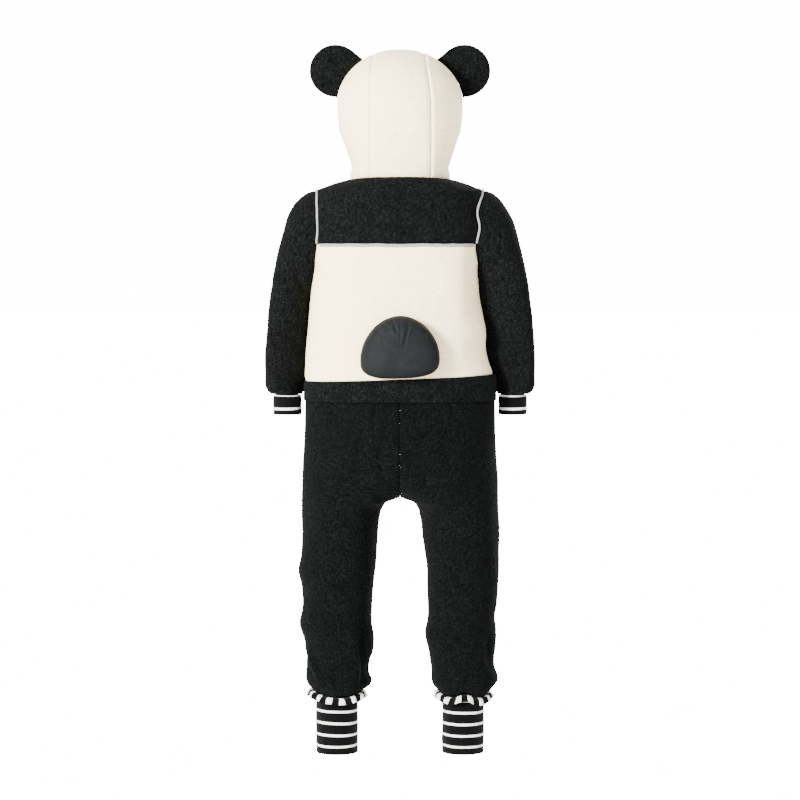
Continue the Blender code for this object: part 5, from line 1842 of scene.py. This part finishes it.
# ---------------------------------------------------------------- trims
@dataclass
class Trims:
    """Overlocked edge tape over the back armhole seams and along the yoke's seam."""

    torso: Torso
    thick: float = 1.5
    armhole_width: float = 2.8
    armhole_lift: float = 1.8
    yoke_width: float = 4.2
    yoke_lift: float = 0.35
    yoke_drop: float = 1.3
    end_gap: float = 0.6
    end_columns: int = 5                # of the yoke's grid that its tape leaves free
    wave: float = 0.9
    #         across  height, the tape's rounded section
    profile: tuple = (
        (-0.5, 0.0), (-0.5, 0.3), (-0.46, 0.62), (-0.34, 0.88), (-0.16, 1.0), (0.16, 1.0),
        (0.34, 0.88), (0.46, 0.62), (0.5, 0.3), (0.5, 0.0),
    )

    def ribbon(
        self, name: str, path: Array, facing: Array, width: float, lift: float,
        finish: Material,
    ) -> None:
        """Makes and dresses one tape: its section carried along a path, then waved a little."""
        along = unit(np.gradient(path, axis=0))
        across = unit(np.cross(along, facing))
        run = run_lengths(path[None], 1)[0]
        fade = np.sin(np.clip(run / run[-1], 0, 1) * math.pi)
        sway = self.wave * drift(path, 16.0, 31) * fade
        fat = 1.0 + 0.16 * drift(path, 7.0, 32)
        rings = [
            path + across * (side * width * fat + sway)[:, None]
            + facing * (lift + high * self.thick)
            for side, high in self.profile
        ]
        grid = np.stack(rings, axis=1)
        rows, cols = grid.shape[:2]
        faces = grid_quads(rows, cols, 0, True)
        faces += [tuple(range(cols)), tuple(range((rows - 1) * cols, rows * cols))]
        flat = np.stack(np.meshgrid(column(self.profile, 0) * width, run), axis=-1)
        piece = mesh_object(name, grid.reshape(-1, 3), faces, finish, flat.reshape(-1, 2))
        dress(piece)

    def build(self, finish: Material) -> None:
        """Makes the three tapes."""
        grid, out, at = self.torso.quarter(Half.BACK)
        rows = (at >= self.torso.tip_row) & (at <= self.torso.seam_row)
        path = grid[rows, -1]
        facing = unit(self.torso.shared_edges())[:len(path)]
        run = run_lengths(path[None], 1)[0]
        keep = run <= run[-1] - self.end_gap
        for side in Side:
            self.ribbon(
                "armhole_trim_" + side.label, self.torso.pulled(mirrored(side, path[keep])),
                mirrored(side, facing[keep]), self.armhole_width, self.armhole_lift, finish,
            )
        row = int(np.argmax(at >= self.torso.seam_row))
        half, facing = grid[row, :-self.end_columns], out[row, :-self.end_columns]
        seam, facing = (
            np.concatenate([mirrored(Side.RIGHT, g)[:0:-1], g]) for g in (half, facing)
        )
        seam = self.torso.pulled(seam) - np.array([0.0, 0.0, self.yoke_drop])
        self.ribbon("yoke_trim", seam, facing, self.yoke_width, self.yoke_lift, finish)


# ---------------------------------------------------------------- zip
@dataclass
class Zip:
    """Moulded zip down the centre front: woven tape and a closed chain."""

    torso: Torso
    half_width: float = 6.0
    chain_half: float = 2.4
    chain_rise: float = 1.5
    thick: float = 1.6
    recess: float = 0.6
    tooth_pitch: float = 2.0
    tooth_wide: float = 1.45

    def line(self) -> Array:
        """Points down the centre front on the tape's outer face."""
        torso = self.torso
        keys = torso.key_rows(Half.FRONT)[:, 0]
        z = np.array([torso.waist_z - 1.0, torso.band_bottom_z])
        depth = curve(torso.depths, 2, z) + torso.band_proud
        keys = np.concatenate([keys[:, 1:], np.stack([depth, z], axis=1)])
        fine = rows_at(keys, np.linspace(0.0, len(keys) - 1.0, 160))
        run = run_lengths(fine[None], 1)[0]
        at = np.arange(0.0, run[-1], self.tooth_pitch / 2)
        at = np.append(at, run[-1])
        y, z = np.interp(at, run, fine[:, 0]), np.interp(at, run, fine[:, 1])
        return stack(0.0, -(y - self.recess), z)

    def build(self, tape: Material, chain: Material) -> None:
        """Makes and dresses the tape and the chain of teeth that lies on it."""
        line = self.line()
        along = unit(np.gradient(line, axis=0))
        out = np.cross(along, np.array([1.0, 0.0, 0.0]))
        out = np.where(out[:, 1:2] > 0, -out, out)
        across = np.linspace(-self.half_width, self.half_width, 13)
        grid = line[:, None] + np.array([1.0, 0.0, 0.0]) * across[None, :, None]
        count = (len(grid) - 1) // 3 * 3 + 1
        grid, facing = grid[:count], np.repeat(out[:count, None], len(across), axis=1)
        cloth = Cloth(self.thick, tape, "zip_tape", soft=0.0, seam_dip=0.0)
        cloth.sew("zip_tape", grid, facing, "lr")
        teeth = self.teeth(line, along, out, chain)
        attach(teeth, "root")

    def teeth(
        self, line: Array, along: Array, out: Array, finish: Material
    ) -> Object:
        """Chain of teeth: a bevelled block at each half pitch, by turns from either side."""
        #         across  along   rise, corners of a tooth with a narrower top
        low = np.array([(-0.5, -0.5, 0.06), (0.5, -0.5, 0.06), (0.5, 0.5, 0.06), (-0.5, 0.5, 0.06)])
        mid = low * np.array([1.0, 1.0, 0.0]) + np.array([0.0, 0.0, 0.62])
        top = low * np.array([0.82, 0.6, 0.0]) + np.array([0.0, 0.0, 1.0])
        shape = np.concatenate([low, mid, top])
        quads = [(3, 2, 1, 0), (8, 9, 10, 11)]
        for ring in (0, 4):
            for k in range(4):
                nxt = (k + 1) % 4
                quads.append((ring + k, ring + nxt, ring + 4 + nxt, ring + 4 + k))
        size = np.array([self.chain_half * 1.6, self.tooth_wide * 0.62, self.chain_rise])
        inside = slice(4, len(line) - 4)
        side = np.where(np.arange(len(line))[inside] % 2 == 0, 1.0, -1.0)
        local = shape[None] * size
        shift = side[:, None] * self.chain_half * 0.2
        place = (
            line[inside, None]
            + np.array([1.0, 0.0, 0.0]) * (local[..., 0] + shift)[..., None]
            + along[inside, None] * local[..., 1:2]
            + out[inside, None] * local[..., 2:3]
        )
        count = len(shape)
        faces = np.array(quads)[None] + np.arange(len(place))[:, None, None] * count
        return mesh_object(
            "zip_chain", place.reshape(-1, 3), [tuple(f) for f in faces.reshape(-1, 4).tolist()],
            finish,
        )


# ---------------------------------------------------------------- studio
def aimed(name: str, data: bpy.types.ID, place: tuple, target: Vector) -> Object:
    """Adds a lamp or a camera at a place, turned to look at the target."""
    thing = bpy.data.objects.new(name, data)
    thing.location = place
    thing.rotation_euler = (target - thing.location).to_track_quat("-Z", "Y").to_euler()
    bpy.context.collection.objects.link(thing)
    return thing


@dataclass(frozen=True)
class Light:
    """A soft square light that looks at the garment's middle."""

    name: str
    place: tuple[float, float, float]
    size: float
    power: float

    def build(self, target: Vector) -> None:
        """Adds the light."""
        data = bpy.data.lights.new(self.name, "AREA")
        data.shape = "SQUARE"
        data.size = self.size
        data.energy = self.power
        aimed(self.name, data, self.place, target)


@dataclass
class Studio:
    """Camera, pale floor and soft light, all in metres."""

    camera_place: tuple = (0.0, 4.0, -0.095)
    aim: tuple = (0.0, 0.0, -0.2985)
    field_deg: float = 15.44
    far_clip: float = 200.0
    floor_z: float = -0.8
    floor_radius: float = 30.0
    floor_colour: str = "#fafafa"
    sky_colour: str = "#ffffff"
    sky_power: float = 2.0
    backdrop_power: float = 16.0
    lights: tuple = (
        Light("key", (2.7, 3.5, 0.8), 0.9, 1130.0),
        Light("fill", (-1.9, 2.8, 0.6), 2.2, 20.0),
        Light("front_key", (-2.4, -3.2, 1.6), 1.8, 300.0),
    )

    def build(self) -> None:
        """Adds the camera, the lights, the world and the floor."""
        target = Vector(self.aim)
        camera = aimed("camera", bpy.data.cameras.new("camera"), self.camera_place, target)
        camera.data.angle = math.radians(self.field_deg)
        camera.data.clip_end = self.far_clip
        bpy.context.scene.camera = camera
        for light in self.lights:
            light.build(target)
        world = bpy.data.worlds.new("studio")
        world.use_nodes = True
        tree = world.node_tree
        seen = add_node(tree, "ShaderNodeLightPath").outputs["Is Camera Ray"]
        strength = add_node(
            tree, "ShaderNodeMapRange", Value=seen, To_Min=self.sky_power, To_Max=self.backdrop_power
        ).outputs[0]
        set_up(tree, tree.nodes["Background"], Color=linear(self.sky_colour), Strength=strength)
        bpy.context.scene.world = world
        self.floor()

    def floor(self) -> None:
        """A round, plain floor below the garment."""
        turn = np.linspace(0.0, 2 * math.pi, 64, endpoint=False)
        ring = stack(self.floor_radius * np.cos(turn), self.floor_radius * np.sin(turn), self.floor_z)
        mesh = bpy.data.meshes.new("floor")
        mesh.from_pydata(ring.tolist(), [], [tuple(range(len(ring)))])
        paint, tree, shader = Finish("matt_white_floor_paint").begin()
        seen = add_node(tree, "ShaderNodeLightPath").outputs["Is Camera Ray"]
        glow = add_node(
            tree, "ShaderNodeMath", operation="MULTIPLY", in0=seen, in1=self.backdrop_power
        ).outputs[0]
        set_up(
            tree, shader, Base_Color=linear(self.floor_colour), Roughness=0.9,
            Emission_Color=linear(self.sky_colour), Emission_Strength=glow,
        )
        mesh.materials.append(paint)
        floor = bpy.data.objects.new("floor", mesh)
        bpy.context.collection.objects.link(floor)


# ---------------------------------------------------------------- creases of this garment
TAIL_CREASES = (  # gathers under the tail's top, then faint dents down its sides
    Crease(((17.5, -199.2), (8.0, -198.3)), 1.2, -0.7),
    Crease(((7.5, -193.0), (6.1, -199.8), (1.4, -205.5)), 1.6, -1.5),
    Crease(((-11.5, -192.5), (-11.1, -198.8), (-8.1, -206.4), (-6.2, -215.0), (-6.2, -221.0)), 1.7, -1.6),
    Crease(((-2.0, -197.0), (-1.0, -208.0), (0.0, -216.0)), 2.0, -0.6),
    Crease(((30.8, -209.0), (29.5, -223.0)), 2.4, -0.35),
    Crease(((23.2, -209.0), (21.0, -232.0)), 2.6, -0.35),
    Crease(((-33.9, -200.6), (-33.0, -210.0)), 1.9, -0.5),
)
NECK_TUCK = ((72.0, -22.0), (72.0, 4.0), (74.0, 26.0), (79.0, 66.0))
CREASES: Creases = {
    "hood_side_left": (Crease(NECK_TUCK, 17.0, -8.4, 0.0),),
    "hood_side_right": (
        Crease(tuple((-x, z) for x, z in NECK_TUCK), 17.0, -8.0, 0.0),
        Crease(((-36.0, 58.0), (-38.5, 30.0), (-37.0, 6.0)), 3.0, 0.9),
    ),
    "ear_right": (Crease(((-74.6, 141.0), (-101.8, 138.4)), 2.6, 0.8),),
    "ear_left": (Crease(((80.0, 146.0), (96.0, 155.0)), 2.6, 0.6),),
    "back_yoke": (
        Crease(((55.6, -58.3), (10.0, -60.0), (-36.6, -58.3)), 3.2, -0.8),
        Crease(((-69.2, -13.6), (-58.4, -46.1)), 3.6, -1.0),
        Crease(((76.0, -28.5), (70.6, -39.4)), 3.0, -0.9),
    ),
    "back_panel": (Crease(((-100.0, -96.0), (-86.0, -112.0)), 6.0, -1.6),),
    "front_panel_right": (
        Crease(((-104.0, -122.0), (-84.0, -150.0), (-76.0, -176.0)), 6.0, -1.5),
    ),
    "front_panel_left": (
        Crease(((100.0, -120.0), (82.0, -142.0)), 6.0, -1.4),
        Crease(((30.0, -236.0), (52.0, -252.0)), 5.0, -1.0),
    ),
    "sleeve_left": (
        Crease(((118.0, -110.0), (119.0, -132.0), (121.0, -160.0)), 8.0, 2.4, 0.0),
        Crease(((117.5, -120.0), (118.5, -137.0)), 6.0, 2.2, 0.0),
        Crease(((122.0, -87.0), (121.0, -114.0)), 3.2, -1.5),
        Crease(((139.0, -124.0), (129.0, -155.0)), 4.5, -3.4),
        Crease(((167.0, -130.0), (151.0, -154.0)), 5.0, 2.6),
        Crease(((172.0, -196.0), (150.0, -208.0)), 5.0, -1.3),
    ),
    "sleeve_right": (
        Crease(
            ((-110.0, -106.0), (-109.0, -132.0), (-111.0, -160.0), (-114.0, -200.0),
             (-114.5, -245.0)), 9.0, 3.0, 0.0,
        ),
        Crease(((-108.0, -120.0), (-108.0, -137.0)), 6.0, 2.6, 0.0),
        Crease(((-118.0, -95.0), (-124.0, -112.0)), 3.0, -1.4),
        Crease(((-134.0, -130.0), (-127.0, -152.0)), 4.0, -1.5),
        Crease(((-168.0, -176.0), (-150.0, -190.0)), 5.0, -1.2),
    ),
    "tail": TAIL_CREASES,
    "trouser_back_left": (
        Crease(
            ((50.9, -599.0), (49.8, -615.0), (50.9, -633.0), (47.5, -651.0), (47.0, -665.0),
             (54.0, -692.0)), 5.2, -7.4,
        ),
        Crease(((125.5, -634.0), (116.3, -656.0), (106.0, -684.0)), 3.6, 4.6),
        Crease(((21.7, -438.0), (51.6, -418.0)), 7.0, 1.6),
        Crease(((118.0, -536.0), (96.0, -552.0)), 5.0, -1.2),
    ),
    "trouser_back_right": (
        Crease(((-120.0, -612.0), (-119.0, -633.0), (-121.0, -658.0)), 4.2, -3.2),
        Crease(((-38.0, -393.5), (-28.5, -425.0)), 6.0, -2.0),
        Crease(((-49.0, -547.0), (-42.0, -547.0)), 6.0, 1.5),
        Crease(((-60.0, -560.0), (-84.0, -572.0)), 5.0, -1.1),
    ),
    "trouser_front_left": (
        Crease(((24.0, -440.0), (54.0, -424.0)), 7.0, 1.3),
        Crease(((58.0, -588.0), (54.0, -607.0), (56.0, -640.0)), 4.2, -2.0),
        Crease(((112.0, -560.0), (92.0, -578.0)), 5.0, -1.4),
        Crease(((116.0, -652.0), (104.0, -680.0)), 4.2, 1.4),
    ),
    "trouser_front_right": (
        Crease(((-26.0, -442.0), (-58.0, -430.0)), 7.0, -1.3),
        Crease(((-112.0, -572.0), (-88.0, -588.0)), 5.0, -1.5),
        Crease(((-60.0, -618.0), (-63.0, -648.0), (-58.0, -676.0)), 4.2, -1.9),
    ),
}


def main() -> None:
    """Builds the garment's parts in order, then the studio."""
    logging.basicConfig(level=logging.INFO, format="%(message)s")
    sherpa = Cloth(thick=3.0, finish=SHERPA.make(), slot="sherpa_black", curl=3.6, curl_rise=1.1)
    fleece = Cloth(
        thick=2.6, finish=FLEECE.make(), slot="fleece_cream", curl=2.6, curl_rise=0.35, seam_dip=0.8
    )
    hood = Hood()
    torso = Torso(hood)
    hood.build(fleece, CREASES)
    Ears(hood).build(sherpa, CREASES)
    torso.build_body(sherpa, fleece, CREASES)
    torso.build_sleeves(sherpa, CREASES)
    torso.build_band(sherpa)
    # the trousers take the darker copy of the sherpa, which paints shade over the legs
    Trousers().build(replace(sherpa, finish=SHADED_TROUSER_SHERPA.make()), CREASES)
    Cuff(
        "sleeve_cuff", "sleeve", centre=(153.5, -13.5), half_width=19.2, half_depth=20.5, top=-292.0,
        length=26.3, finish=CUFF_RIB.make(), cols=132,
    ).build()
    Cuff(
        "leg_cuff", "trouser_back", centre=(85.8, 0.0), half_width=28.1, half_depth=31.0, top=-698.7,
        length=80.0, finish=LEG_RIB.make(), hem=HemLine(), rows=61,
    ).build()
    Frill().build(FRILL_RIB)
    Tail(torso).build(TAIL_NYLON.make(), CREASES)
    Trims(torso).build(EDGE.make())
    Zip(torso).build(TAPE.make(), CHAIN.make())
    metal = METAL.make()
    for name in ("zip_slider", "zip_pull"):
        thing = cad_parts[name]
        thing.data.materials.clear()
        thing.data.materials.append(metal)
    Studio().build()


if __name__ == "__main__":
    main()
